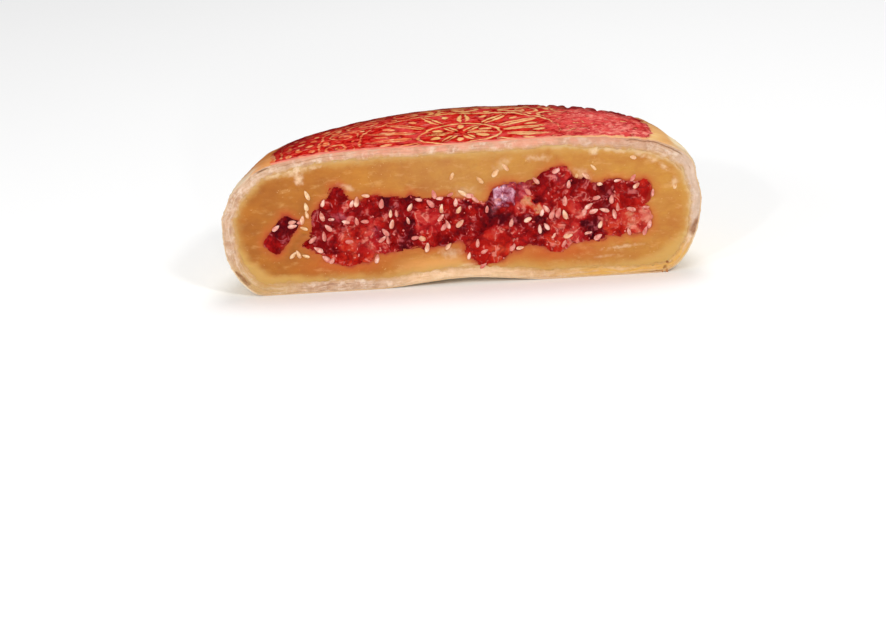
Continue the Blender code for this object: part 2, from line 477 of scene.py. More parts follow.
def skin_form():
    """The skin's outer surface with its relief, its faces, its edge at the cut, and where its brow gets
    painted shade.
    """
    points, faces, edge = skin_surface()
    normals = normals_of(points, faces)
    x, y, z = points.T
    # Where the dome turns away from the cut, as the front view sees it, its skin gets painted shade, and on
    # the right it is crumbly there
    turned = normals @ (0.03, -math.cos(BROW_TILT), math.sin(BROW_TILT))
    right = smooth_step(10, 30, x)
    reach = 0.25 - 0.04 * right + 0.05 * smooth_step(-46, -56, x)
    brow = smooth_step(reach, 0.4 * reach, turned) * smooth_step(-0.12, -0.02, turned)
    brow *= smooth_step(34, 38, z) * smooth_step(-72, -66, x)
    brow *= smooth_step(68, 60, x)
    brow *= smooth_step(1, 8, y - CUT)
    ragged = rough(points, 4.2, 2, seed=6)
    bumps = smooth_step(-0.35, 0.5, ragged) * brow * right * smooth_step(62, 56, x)
    points = points + normals * (skin_relief(points) + 0.8 * bumps)[:, None]
    points[:, 2] = np.clip(points[:, 2], 0, None)
    points[edge, 1] = CUT
    return points, faces, edge, brow


# ---- the stamped ornament

# The stamp is round at the front and a little flattened at the back. Its middle lies behind the cut.
STAMP_MIDDLE = (1.3, 13.0)
STAMP_RADIUS = 58.5
STAMP_BACK = 49.5  # from its middle to its rim at the back
STAMP_SQUARE = 2.2  # 2 is an ellipse, more is squarer
BARE = 1.25  # width of the lines that the ink leaves bare
CURL_TURNS = 1.7
NO_INK = -2.0  # what stands for bare pastry well outside the stamp


def bare_ring(r, radius, width=BARE):
    return np.abs(r - radius) - width / 2


def beads(r, angle, inner, outer, rows, repeats):
    """Staggered rows of bare oval beads between two radii, long round the stamp."""
    step = (outer - inner) / rows
    pitch = math.pi / repeats
    best = np.full(r.shape, 9.0)
    for row in range(rows):
        middle = inner + (row + 0.5) * step
        local = (angle - pitch / 2 * (row % 2) + pitch / 2) % pitch - pitch / 2
        reach = np.hypot(local / pitch * step * 1.1, r - middle)
        best = np.minimum(best, reach - step * 0.37)
    return best


def scrolls(r, angle, middle, size, repeats):
    """Bare curls round a ring, one in each repeat, every other one turned the other way."""
    pitch = math.pi / repeats
    index = np.floor(angle / pitch)
    hand = np.where(index % 2 == 0, 1, -1)
    squeeze = 2.1 * size / (pitch * middle)
    local = (angle - (index + 0.5) * pitch) * r * hand * squeeze
    height = r - middle
    reach = np.hypot(local, height)
    bearing = (np.arctan2(height, local) / (2 * math.pi)) % 1
    gap = size / CURL_TURNS
    arm = np.abs((reach / gap - bearing + 0.5) % 1 - 0.5) * gap - BARE * 0.5
    tail = np.hypot(np.abs(local) - size, np.abs(height) - size * 0.8) - BARE * 0.9
    return np.where(reach < size, arm, tail)


def leaves(r, angle, inner, outer, count, offset=0.0):
    """Bare leaves between two radii, each with an inked vein, and a bud between each two."""
    pitch = math.pi / count
    local = np.abs((angle - offset + pitch / 2) % pitch - pitch / 2) * r
    along = np.clip((r - inner) / (outer - inner), 0, 1)
    half_width = pitch * (inner + outer) / 2 * 0.2 * np.sin(math.pi * along**0.8) ** 0.7
    leaf = np.maximum(local - half_width, BARE * 0.24 - local)
    bud = np.hypot(local - pitch / 2 * r, (r - inner * 0.35 - outer * 0.65) * 0.5) - BARE
    return np.where((r > inner) & (r < outer), np.minimum(leaf, bud), 9)


def stamp_lines(points):
    """Distance to the nearest bare line of the stamp, and how far out from its middle that is."""
    x = (points[:, 0] - STAMP_MIDDLE[0]) / STAMP_RADIUS
    y = points[:, 1] - CUT - STAMP_MIDDLE[1]
    y = y / np.where(y > 0, STAMP_BACK, STAMP_RADIUS)
    power = np.where(y > 0, STAMP_SQUARE, 2)
    r = STAMP_RADIUS * (np.abs(x) ** power + np.abs(y) ** power) ** (1 / power)
    # Hand-cut lines wander
    inner = r + 0.9 * rough(points, 6, 3, seed=8) + 1.5 * rough(points, 24, 2, seed=14)
    angle = np.arctan2(y, x) + 0.025 * rough(points, 12, 2, seed=9)
    bands = [
        bare_ring(inner, 57.5, 1.0),
        beads(inner, angle, 46.0, 56.6, 3, 19),
        bare_ring(inner, 44.9),
        scrolls(inner, angle, 38.4, 5.5, 7),
        bare_ring(inner, 31.6, 1.2),
        leaves(inner, angle, 14.0, 30.8, 7, 0.2),
        bare_ring(inner, 12.6, 1.2),
        leaves(inner, angle, 1.6, 11.8, 3),
    ]
    return np.minimum.reduce(bands), r


def ornament(points):
    """The stamp on the top as distance to bare pastry: positive in the ink, negative outside it."""
    lines, r = stamp_lines(points)
    further_back, _ = stamp_lines(points + (0, 0.3, 0))
    # Lines along the cut are cut bolder than lines away from it
    along_cut = np.clip(np.abs(further_back - lines) / 0.3, 0, 1)
    bolder = 0.4 * along_cut * smooth_step(52, 44, r) + 0.25 * rough(points, 5, 2, seed=7) - 0.2
    bolder -= 0.1 * smooth_step(36, 26, r)
    rim = STAMP_RADIUS - r + 0.9 * rough(points, 3, 3, seed=10)
    return np.clip(np.minimum(lines - bolder, rim), NO_INK, -NO_INK)


# ---- the skin


def skin_material():
    paint = Paint("baked_skin", specular=0.0, soaking=(0.1, 2.0, (1.0, 0.6, 0.35)))
    x, z = paint.axis("X"), paint.axis("Z")
    soft = paint.noise(16, 4)
    fine = paint.noise(2.2, 4)
    # A creamy wall with faint leaves
    colour = soft.ramp((0.3, 226, 197, 152), (0.5, 238, 217, 180), (0.72, 246, 232, 205))
    leaves = paint.noise(3.2, 5, stretch=(6, 6, 0.55), distortion=0.4)
    colour.lay(leaves.span(0.56, 0.7, 0, 0.55), (214, 176, 124))
    colour.lay(paint.noise(5.5, 5, roughness=0.7).span(0.62, 0.78, 0, 0.5), (203, 150, 92))
    # Its edge beside the cut has browned a little
    beside = paint.axis("Y").span(CUT + 8.0, CUT + 1.5) * z.span(8, 16, 0, 0.5)
    colour.lay(beside, (190, 148, 116))
    # A golden egg-washed top. Within the stamp its bare lines are tinged with ink, most on the left
    golden = soft.ramp((0.3, 224, 162, 92), (0.5, 238, 192, 126), (0.72, 246, 218, 166))
    golden.lay(x.span(-50, -60, 0, 0.85), (226, 152, 90))
    distance = paint.attribute("ink")
    tinges = ((0.0, 222, 84, 52), (0.24, 230, 112, 70), (0.42, 230, 166, 98), (0.8, 230, 160, 108))
    lines = x.span(-50, 50).ramp(*tinges)
    lines.lay(paint.noise(2.6, 3).span(0.48, 0.62, 0, 0.55), (246, 208, 148))
    golden.lay(distance.span(-1.9, -1.3, 0, 0.9), lines)
    wash_edge = z + paint.noise(9, 4) * 7.0
    colour.lay(wash_edge.span(41.5, 46.5), golden)
    # Toasted where the wash ends, and at the foot
    brown = wash_edge.span(43.0, 45.0) * wash_edge.span(47.8, 45.6)
    colour.lay(brown * 0.35, (196, 118, 58))
    colour.lay((z + fine * 3.0).span(6.0, 0.5, 0, 0.6), (206, 150, 88))
    # The ink: uneven, and smudged crimson over the gaps towards the right
    worn = (paint.noise(2.2, 4) - 0.5) * 1.5
    smudge = x.span(22, 44) * paint.noise(8, 3).span(0.3, 0.5, 0.4, 1)
    spread = distance + worn + smudge * 1.1 + x.span(20, -10, 0.0, 0.14)
    inked = spread.span(-0.26, 0.26)
    streaks = paint.noise(2.6, 5, roughness=0.65, distortion=0.6)
    red = streaks.ramp((0.36, 122, 6, 10), (0.46, 186, 14, 12), (0.64, 216, 60, 46))
    rose = streaks.ramp((0.34, 176, 30, 40), (0.48, 212, 80, 78), (0.62, 238, 148, 132))
    red.lay(smudge * 0.9, rose)
    # It has run thin and pinkish in places. Painted shade darkens it along its edges
    red.lay(paint.noise(6, 4).span(0.51, 0.61, 0, 0.7) * x.span(-40, -10, 0.3, 1), (218, 70, 68))
    red.lay(spread.span(0.9, 0.1, 0, 0.65) * paint.noise(5, 3).span(0.42, 0.58), (120, 8, 14))
    # A painted highlight: pale pink streaks laid over the ink
    ink_highlight = paint.noise(1.5, 4, stretch=(2.4, 1, 1))
    red.lay(ink_highlight.span(0.56, 0.68, 0, 0.6), (238, 132, 116))
    colour.lay(inked, red)
    # It thins out in a pinkish fringe where the knife went through
    behind = paint.axis("Y") + paint.noise(2.0, 3) * 2.2
    fringe = behind.span(CUT + 3.2, CUT + 1.8) * distance.span(-1.9, -1.5)
    colour.lay(fringe * 0.75, paint.mix(x.span(26, 40), (234, 138, 120), (240, 188, 132)))
    # Painted shade along the brow, where the dome turns away from the front view: dark red in the ink, brown
    # beside it
    painted_brow_shade = paint.attribute("brow_shade") * paint.noise(5, 2).span(0.3, 0.58, 0.6, 0.9)
    colour.lay(painted_brow_shade, paint.mix(distance.span(-1.6, -0.6), (164, 90, 34), (104, 12, 18)))
    colour.lay(paint.attribute("lip"), (206, 166, 138))
    normal = (fine * 0.6 + leaves * 0.4).bump(0.3)
    return paint.finish(colour, normal=inked.bump(0.03, normal))


def make_skin(points, faces, edge, brow):
    """The baked skin, closed by a lip at the cut and a hollow behind it that the other layers fill."""
    loop = points[edge][:, [0, 2]]
    inner = flat_points(*(loop + inward(soften(loop, 3)) * LIP).T)
    count = len(points)
    span = len(edge)
    middle = [[0, CUT + RECESS, HEIGHT / 2]]
    everything = np.concatenate([points, inner + (0, LIP_DEPTH, 0), inner + (0, RECESS, 0), middle])
    for k in range(span):
        after = (k + 1) % span
        a, b = count + k, count + after
        faces += [(edge[k], edge[after], b, a), (a, b, b + span, a + span)]
        faces.append((a + span, b + span, count + 2 * span))
    outside = np.arange(len(everything)) < count
    ink = np.full(len(everything), NO_INK)
    top = outside & (everything[:, 2] > HEIGHT * TOP_FROM)
    ink[top] = ornament(everything[top])
    # The brow's painted shade, on the outer surface only
    brow_shade = np.zeros(len(everything))
    brow_shade[:count] = brow
    values = {"ink": ink, "lip": np.where(outside, 0.0, 1.0), "brow_shade": brow_shade}
    skin = make_piece("crust_skin", everything, faces, skin_material(), "crust", **values)
    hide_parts("crust")


# ---- the crust at the cut

BAND_COLUMNS = 1400
BAND_ROWS = 26
BAND_DEPTH = 3.2
SHEETS_PER_MM = 1.5
# Crust thickness at places along the outline, from the base's middle anticlockwise round the cut
THICKNESS = (
    (0.0, 3.9), (0.12, 3.4), (0.2, 3.0), (0.26, 3.6), (0.3, 5.0), (0.335, 5.0), (0.38, 3.7), (0.5, 3.3),
    (0.62, 3.4), (0.68, 3.8), (0.74, 4.5), (0.8, 4.5), (0.86, 4.2), (1.0, 3.9),
)
# Where the layers have parted: start and end (x, z), place across the crust, width and depth. The depth also
# sets how dark the crack's painted shade is
CRACKS = (
    ((70.5, 36.0), (50.0, 44.0), 0.13, 0.05, 0.45),
    ((73.6, 31.0), (71.2, 35.5), 0.3, 0.04, 0.35),
    ((-57.0, 42.5), (-64.5, 39.5), 0.12, 0.07, 0.5),
    ((-33.0, 45.3), (-56.0, 43.0), 0.3, 0.05, 0.22),
    ((-12.0, 45.6), (-31.0, 45.3), 0.48, 0.04, 0.15),
    ((46.0, 1.0), (8.0, 1.0), 0.45, 0.05, 0.2),
    ((52.0, 1.0), (14.0, 1.0), 0.75, 0.04, 0.15),
)
# Toasted streaks of the crust: start and end (x, z), half width and how dark
TOASTED = (
    ((74.2, 16.8), (72.0, 12.6), 1.1, 0.85),
    ((55.0, 0.3), (61.4, 0.4), 0.35, 0.8),
    ((62.2, 1.4), (62.7, 1.7), 0.5, 0.8),
    ((63.8, 2.7), (64.9, 3.4), 0.35, 0.5),
    ((-71.4, 7.9), (-68.2, 4.3), 0.7, 0.9),
    ((-74.1, 14.0), (-73.7, 12.0), 0.45, 0.4),
    ((-61.6, 39.5), (-59.6, 40.5), 0.6, 0.9),
)


def band_lines(outline):
    """Places along an even outline of the cut, from 0 to 1, the crust's thickness and its way inward."""
    share = np.arange(BAND_COLUMNS) / BAND_COLUMNS
    wander = rough(flat_points(*outline.T), 7, 3, seed=11)
    return share, np.interp(share, *zip(*THICKNESS)) + 0.4 * wander, inward(soften(outline, 12))


def layers_material():
    paint = Paint("crust_layers", roughness=0.7, specular=0.2, soaking=(0.25, 2.0, (1.0, 0.6, 0.4)))
    x, z = paint.axis("X"), paint.axis("Z")
    blotch = paint.noise(3.4, 5, roughness=0.62)
    colour = blotch.ramp((0.3, 172, 130, 100), (0.48, 196, 158, 128), (0.68, 218, 186, 160))
    # Long leaves follow the outline, some floury and some brownish
    flow = paint.field(0, "CombineXYZ", {"X": x * 0.16, "Y": paint.attribute("sheets"), "Z": z * 0.16})
    leaf = paint.field("Fac", "TexNoise", {"Vector": flow, "Scale": 1.1, "Detail": 4.0, "Roughness": 0.6})
    colour.lay(leaf.span(0.5, 0.72, 0, 0.6), (230, 208, 188))
    colour.lay(leaf.span(0.48, 0.3, 0, 0.5), (166, 126, 104))
    colour.lay(paint.noise(2.4, 5, roughness=0.62).span(0.5, 0.68, 0, 0.7), (232, 210, 190))
    # Rosy under the stamp, dusky at the right shoulder and chalky below it
    colour.lay(z.span(41, 44.5) * paint.noise(4, 3).span(0.35, 0.6, 0.2, 0.7), (226, 148, 122))
    colour.lay(x.span(26, 44) * x.span(66, 58) * z.span(36, 41, 0, 0.4), (184, 138, 112))
    colour.lay(x.span(64, 71, 0, 0.55) * z.span(8, 18), (206, 182, 164))
    # The foot is pale in the middle, golden on the right and olive on the left
    colour.lay(z.span(8, 3) * abs(x).span(30, 12, 0, 0.6), (242, 202, 156))
    wavy = leaf.span(0.42, 0.62, 1.0, 0.6)
    colour.lay(x.span(8, 48) * z.span(15, 5) * wavy, (216, 166, 88))
    colour.lay(x.span(-46, -62) * z.span(15, 5, 0, 0.8) * wavy, (196, 158, 100))
    # The paste's fat shows through where the crust is thin
    inner = paint.attribute("across") + paint.noise(2.0, 5, roughness=0.65) * 0.9
    colour.lay(inner.span(1.0, 1.45, 0, 0.9), (194, 146, 86))
    colour.lay(paint.attribute("toast") * paint.noise(3, 3).span(0.3, 0.6, 0.5, 1), (134, 84, 46))
    # Painted shade darkens the cracks where the layers have parted
    colour.lay(paint.attribute("crack_shade"), (146, 100, 62))
    return paint.finish(colour, normal=paint.noise(0.9, 4).bump(0.2, leaf.bump(0.25)))


def make_layers(outline):
    """The crust's thin baked layers as the knife left them, each standing out a little differently."""
    share, thickness, into = band_lines(outline)
    rows = np.linspace(0, 1, BAND_ROWS)
    start = LIP * 0.7
    reach = start + (thickness - start) * rows[:, None]
    x, z = (outline + into * reach[..., None]).reshape(-1, 2).T
    across, share = np.repeat(rows, BAND_COLUMNS), np.tile(share, BAND_ROWS)
    flat = flat_points(x, z)
    sheet = reach.ravel() * SHEETS_PER_MM + 0.9 * rough(flat, 9, 3, seed=12)
    number = np.floor(sheet)
    within = sheet - number
    stand = rough(np.stack([x, number * 9.7, z], axis=-1), 6, 3, seed=13)
    seam = smooth_step(0.22, 0.0, np.minimum(within, 1 - within)) * smooth_step(0.0, 0.5, stand)
    y = 0.05 - 0.2 * stand + 0.16 * seam + 0.14 * rough(flat, 1.4, 3, seed=15)
    crack_shade, toast = np.zeros(len(x)), np.zeros(len(x))
    for start, end, where, width, depth in CRACKS:
        first, last = (share[np.argmin(np.hypot(*(outline - place).T))] for place in (start, end))
        middle = where + 0.04 * rough(flat, 8, 2, seed=16)
        ends = smooth_step(first, first + 0.01, share) * smooth_step(last, last - 0.01, share)
        hit = np.exp(-(((across - middle) / width) ** 2)) * ends
        y = y + depth * hit
        crack_shade = np.maximum(crack_shade, min(1.8 * depth, 0.85) * smooth_step(0.2, 0.9, hit))
    for start, end, half_width, dark in TOASTED:
        (sx, sz), (rx, rz) = np.array((start, np.subtract(end, start))) * (1, UPRIGHT)
        along = np.clip(((x - sx) * rx + (z - sz) * rz) / (rx * rx + rz * rz), 0, 1)
        away = np.hypot(x - sx - along * rx, z - sz - along * rz) / (half_width * (0.6 + 0.6 * along))
        toast = np.maximum(toast, dark * smooth_step(1.6, 0.3, away))
    y = y + 0.12 * smooth_step(0.9, 1.0, across)
    points = np.stack([x, CUT + np.clip(y, -0.4, 2.4), z], axis=-1)
    faces = grid_faces(BAND_ROWS, BAND_COLUMNS, closed=True)
    values = {"across": across, "sheets": sheet, "crack_shade": crack_shade, "toast": toast}
    make_slab("crust_layers", points, faces, CUT + BAND_DEPTH, layers_material(), "crust", **values)


# ---- the core's outline

CORE_POINTS = 480
# The core's edge at the cut, read along its top from left to right and back along its bottom
CORE_EDGE = (
    (-50.2, 14.9), (-47.2, 16.6), (-46.4, 19), (-46.6, 22), (-46, 25), (-43.6, 27), (-42.4, 28.8),
    (-41, 29.3), (-40.4, 31.2), (-39, 32.8), (-37.4, 32.9), (-36, 31.6), (-35, 29.2), (-33.4, 27.9),
    (-30.5, 28), (-28.4, 28.6), (-25.6, 29.4), (-24, 28.6), (-20, 28.2), (-17.4, 27.4), (-15.2, 29.4),
    (-13.6, 28), (-11, 26.9), (-7, 27.4), (-4, 27.2), (0, 26.6), (4, 26.2), (5.2, 25), (7.4, 24.9),
    (9.4, 26.8), (10.2, 29), (12.6, 30), (18, 30.6), (21.6, 29.4), (23.6, 29.8), (25, 31.4), (26.2, 33),
    (28.6, 34.1), (31.4, 34.9), (33.4, 35), (34.8, 33), (35.8, 30.7), (39, 31.1), (42, 29.3),
    (43.6, 28.6), (46.4, 29.9), (50, 29.8), (52.2, 29.1), (55, 29.2), (59.2, 28.4), (59.7, 26.6),
    (59.3, 24.4), (57, 21.4), (59.2, 19.8), (58.8, 14.6), (56.6, 12.4), (53, 12.2), (50.6, 12.8),
    (49.4, 11.6), (45.6, 12.8), (43.8, 11), (39, 11.1), (34, 10.4), (31, 8.8), (27, 8.6), (23.6, 10.4),
    (20, 11.2), (17.6, 9.2), (15.2, 9.4), (13.4, 7.3), (11.4, 5.9), (8, 6.2), (5.8, 5.2), (3.4, 6.8),
    (1, 9.2), (0.6, 12), (-1.2, 13.4), (-4.6, 11.8), (-9.6, 12), (-11.4, 11), (-13.4, 12.4), (-17, 12.1),
    (-20.4, 11.8), (-24, 10.6), (-27, 11.3), (-28.6, 8.4), (-30, 7.8), (-32, 8.7), (-34.8, 7.2),
    (-38, 8.1), (-41, 8.9), (-43.2, 9.6), (-43.8, 11.6), (-46.8, 13.2),
)


def core_line():
    """The core's edge at even steps, anticlockwise, with a little roughness of its own."""
    line = soften(resample(np.array(CORE_EDGE[::-1]) * (1, UPRIGHT), CORE_POINTS), 1)
    lumps = 0.35 * rough(flat_points(*line.T), 1.8, 2, seed=21)
    return line - inward(line) * (lumps + 0.15)[:, None]


# ---- the paste

PASTE_COLUMNS = 760
PASTE_ROWS = 44
PASTE_DEPTH = 6.5
UNDER_CRUST = 0.9  # how far the paste reaches under the crust
MEDIAL_HALF = 38.0  # half the length of the line that the paste's rows close in on
MEDIAL_HEIGHT = 20.4
# Pale crust and paste dragged by the knife: place, size, tilt in degrees and strength
SMEARS = (
    (-50.0, 39.8, 3.6, 1.3, 8, 1), (-49.6, 37.6, 1.6, 2.6, 12, 0.9), (-57.0, 38.8, 3.0, 0.9, 14, 0.8),
    (-44.0, 40.6, 2.4, 0.6, 6, 0.6), (14.0, 38.0, 2.6, 1.4, 30, 0.45), (25.0, 39.2, 3.4, 1.2, -4, 0.5),
    (42.6, 40.4, 1.5, 1.0, 0, 0.9), (46.8, 40.6, 1.3, 0.7, -5, 0.7), (51.0, 39.6, 1.6, 0.6, -8, 0.6),
    (56.6, 38.4, 1.6, 0.7, -24, 0.8), (60.5, 36.8, 2.0, 0.8, -32, 0.8), (63.6, 34.4, 1.6, 0.7, -45, 0.7),
    (66.8, 29.0, 0.9, 1.8, 0, 0.6), (-34.4, 33.4, 2.6, 0.8, -24, 0.55), (-4.0, 10.4, 3.0, 2.0, -3, 0.5),
    (2.0, 30.2, 3.4, 1.6, 0, 0.3), (38.5, 33.4, 3.0, 1.6, -20, 0.45), (50.0, 9.2, 6.0, 0.5, 5, 0.6),
    (44.0, 6.4, 4.0, 0.4, 4, 0.4), (0.6, 6.0, 2.6, 0.6, 6, 0.5),
)


def paste_material():
    paint = Paint("bean_paste", specular=0.2, soaking=(0.35, 4.0, (1.0, 0.55, 0.25)))
    x, z = paint.axis("X"), paint.axis("Z")
    cloud = paint.noise(7, 5, stretch=(1.5, 1, 1), roughness=0.62)
    # Painted light: the paste turns lighter and yellower to the right and towards the top, as under a lamp at
    # the upper right
    tone_and_light = x + z.span(24, 38) * 16.0
    tans = ((0.0, 196, 124, 40), (0.3, 202, 138, 52), (0.6, 206, 157, 76), (1.0, 208, 158, 68))
    colour = tone_and_light.span(-66, 70).ramp(*tans)
    light = cloud.ramp((0.32, 100, 96, 88), (0.5, 128, 128, 128), (0.68, 156, 156, 152))
    colour.lay(0.7, light, "OVERLAY")
    # Low down it is redder left and right of the middle, and paler in the middle
    aside = abs(x + 4)
    low = z.span(16, 8) * x.span(-60, -34) * x.span(52, 30) * aside.span(12, 32, 0.0, 0.95)
    colour.lay(low * z.span(5.0, 8.5, 0.3, 1), (186, 88, 28))
    colour.lay(z.span(11, 7) * aside.span(22, 8) * 0.7, (226, 164, 96))
    # The knife dragged it
    drag = paint.noise(2.2, 5, stretch=(2.6, 1, 1), roughness=0.6)
    colour.lay(drag.span(0.52, 0.72, 0, 0.3), (224, 176, 112))
    colour.lay(drag.span(0.46, 0.28, 0, 0.22), (166, 96, 34))
    colour.lay(paint.noise(0.9, 2).span(0.68, 0.76, 0, 0.3), (236, 196, 134))
    # Where the crust's fat has soaked in, most at the lower corners
    margin = paint.attribute("margin")
    soaked = margin - paint.noise(4, 5) * 3.4 - z.span(17, 4) * abs(x).span(42, 64) * 4.2
    colour.lay(soaked.span(1.2, -3.2, 0, 0.9), (200, 156, 86))
    floury = (margin - paint.noise(1.8, 5) * 2.6).span(-0.3, -1.9, 0, 0.5)
    colour.lay(floury * z.span(6, 20, 0.2, 1) * x.span(24, 40, 0.3, 1), (222, 190, 154))
    # The jam has stained the paste round the core
    core = paint.attribute("core")
    stain = core + paint.noise(4.4, 4) * 4.0
    colour.lay(stain.span(5.2, 2.2, 0, 0.55), (190, 98, 38))
    colour.lay(stain.span(3.1, 1.5, 0, 0.75), (174, 68, 30))
    colour.lay((core + paint.noise(1.8, 4) * 1.6).span(1.2, 0.2, 0, 0.7), (164, 52, 28))
    colour.lay(paint.attribute("smear") * paint.noise(1.3, 4).span(0.3, 0.6, 0.3, 1), (226, 192, 156))
    normal = drag.bump(0.08, paint.noise(1.0, 5).bump(0.12))
    return paint.finish(colour, cloud.span(0.3, 0.7, 0.42, 0.58), normal)


def chunk_outline(node):
    """A diced piece's outline at the cut, anticlockwise: the convex hull of its front points."""
    mesh = frame["nodes"][node].data
    spots = sorted({(v.co.x / MM, v.co.z / MM) for v in mesh.vertices if v.co.y / MM < CUT + 0.1})
    hull = []
    for side in (spots, spots[::-1]):
        part = []
        for x, z in side:
            while len(part) > 1:
                (ax, az), (bx, bz) = part[-2:]
                if (bx - ax) * (z - az) > (bz - az) * (x - ax):
                    break
                part.pop()
            part.append((x, z))
        hull += part[:-1]
    return np.array(hull)


def distance_to_fruit(x, z, core):
    """Distance of places of the cut to the core or the piece that lies apart, negative inside them."""
    return np.minimum(distance_inside(x, z, core), distance_inside(x, z, chunk_outline("chunk_far_left")))


def make_paste(outline, core):
    """The paste's cut surface, smoothed by the knife, with a pit where the core sits in it."""
    _, thickness, into = band_lines(outline)
    pick = np.linspace(0, BAND_COLUMNS, PASTE_COLUMNS, endpoint=False).astype(int)
    edge = (outline + into * (thickness - UNDER_CRUST)[:, None])[pick]
    medial = np.clip(edge, (-MEDIAL_HALF, MEDIAL_HEIGHT), (MEDIAL_HALF, MEDIAL_HEIGHT))
    shares = np.linspace(1, 0.12, PASTE_ROWS)[:, None]
    x, z = (medial + (edge - medial) * shares[..., None]).reshape(-1, 2).T
    margin = ((1 - shares) * np.linalg.norm(edge - medial, axis=1) - UNDER_CRUST).ravel()
    flat = flat_points(x, z)
    away = distance_to_fruit(x, z, core)
    ragged = away + 0.4 * rough(flat, 1.8, 2, seed=31)
    y = 0.05 + 0.16 * rough(flat, 9, 2, seed=32)
    y += 0.05 * rough(flat * (0.3, 1, 1), 1.1, 2, seed=33)
    y += 0.25 * smooth_step(0.35, 0.75, rough(flat, 2.4, 2, seed=34))
    y += 0.05 * smooth_step(0.6, 0.0, ragged) + 4.2 * smooth_step(-0.35, -1.7, ragged)
    y += 0.15 * smooth_step(0.1, -0.9, margin)
    smear = np.zeros(len(x))
    for mx, mz, wide, high, tilt, strength in SMEARS:
        c, s = math.cos(math.radians(tilt)), math.sin(math.radians(tilt))
        u = ((x - mx) * c + (z - mz) * s) / wide
        v = ((z - mz) * c - (x - mx) * s) / high
        hit = smooth_step(1.5, 0.1, np.hypot(u, v) + 0.6 * rough(flat, 1.6, 3, seed=35))
        smear = np.maximum(smear, hit * strength)
    y -= 0.1 * smear
    points = np.stack([x, CUT + y, z], axis=-1)
    faces = grid_faces(PASTE_ROWS, PASTE_COLUMNS, closed=True)
    values = {"core": np.clip(away, -5, 12), "smear": smear, "margin": margin}
    back = CUT + PASTE_DEPTH
    piece = make_slab("bean_paste_cut", points, faces, back, paste_material(), "bean_paste", **values)
    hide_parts("bean_paste")


# ---- the jam between the fruit

JAM_STEP = 0.34
JAM_DEPTH = 7.0
JAM_REACH = 1.4  # how far its mesh reaches past the core's edge, under the paste

# The colours of cool and of warm fruit by its tint, and of the bloom on it by a noise
COOL_FRUIT = (
    (0.0, 70, 1, 10), (0.2, 112, 2, 6), (0.4, 140, 8, 14),
    (0.6, 163, 24, 30), (0.8, 187, 58, 56), (1.0, 212, 120, 104),
)
WARM_FRUIT = (
    (0.0, 88, 1, 3), (0.2, 118, 2, 2), (0.4, 148, 12, 7),
    (0.6, 178, 29, 16), (0.8, 194, 66, 40), (1.0, 194, 130, 92),
)
BLOOM = ((0.36, 116, 32, 50), (0.46, 166, 98, 118), (0.56, 194, 142, 160), (0.66, 238, 206, 222))
# Kinds of candied fruit: tint from 0 (near black) to 1 (pale), warmth from 0 (purple) to 1 (orange),
# and how much sugary lilac bloom it has
KINDS = {
    "black": (0.0, 0.1, 0),
    "plum": (0.1, 0.1, 0),
    "maroon": (0.22, 0.35, 0),
    "wine": (0.32, 0.85, 0),
    "crimson": (0.42, 0.45, 0),
    "mauve": (0.5, 0.1, 0.13),
    "red": (0.54, 0.75, 0),
    "jelly": (0.59, 1.0, 0),
    "rose": (0.66, 0.3, 0),
    "coral": (0.65, 0.25, 0),
    "salmon": (0.8, 0.55, 0),
    "apricot": (0.84, 0.6, 0),
    "tan": (0.9, 1.0, 0),
    "lilac": (0.7, 0.0, 1),
}
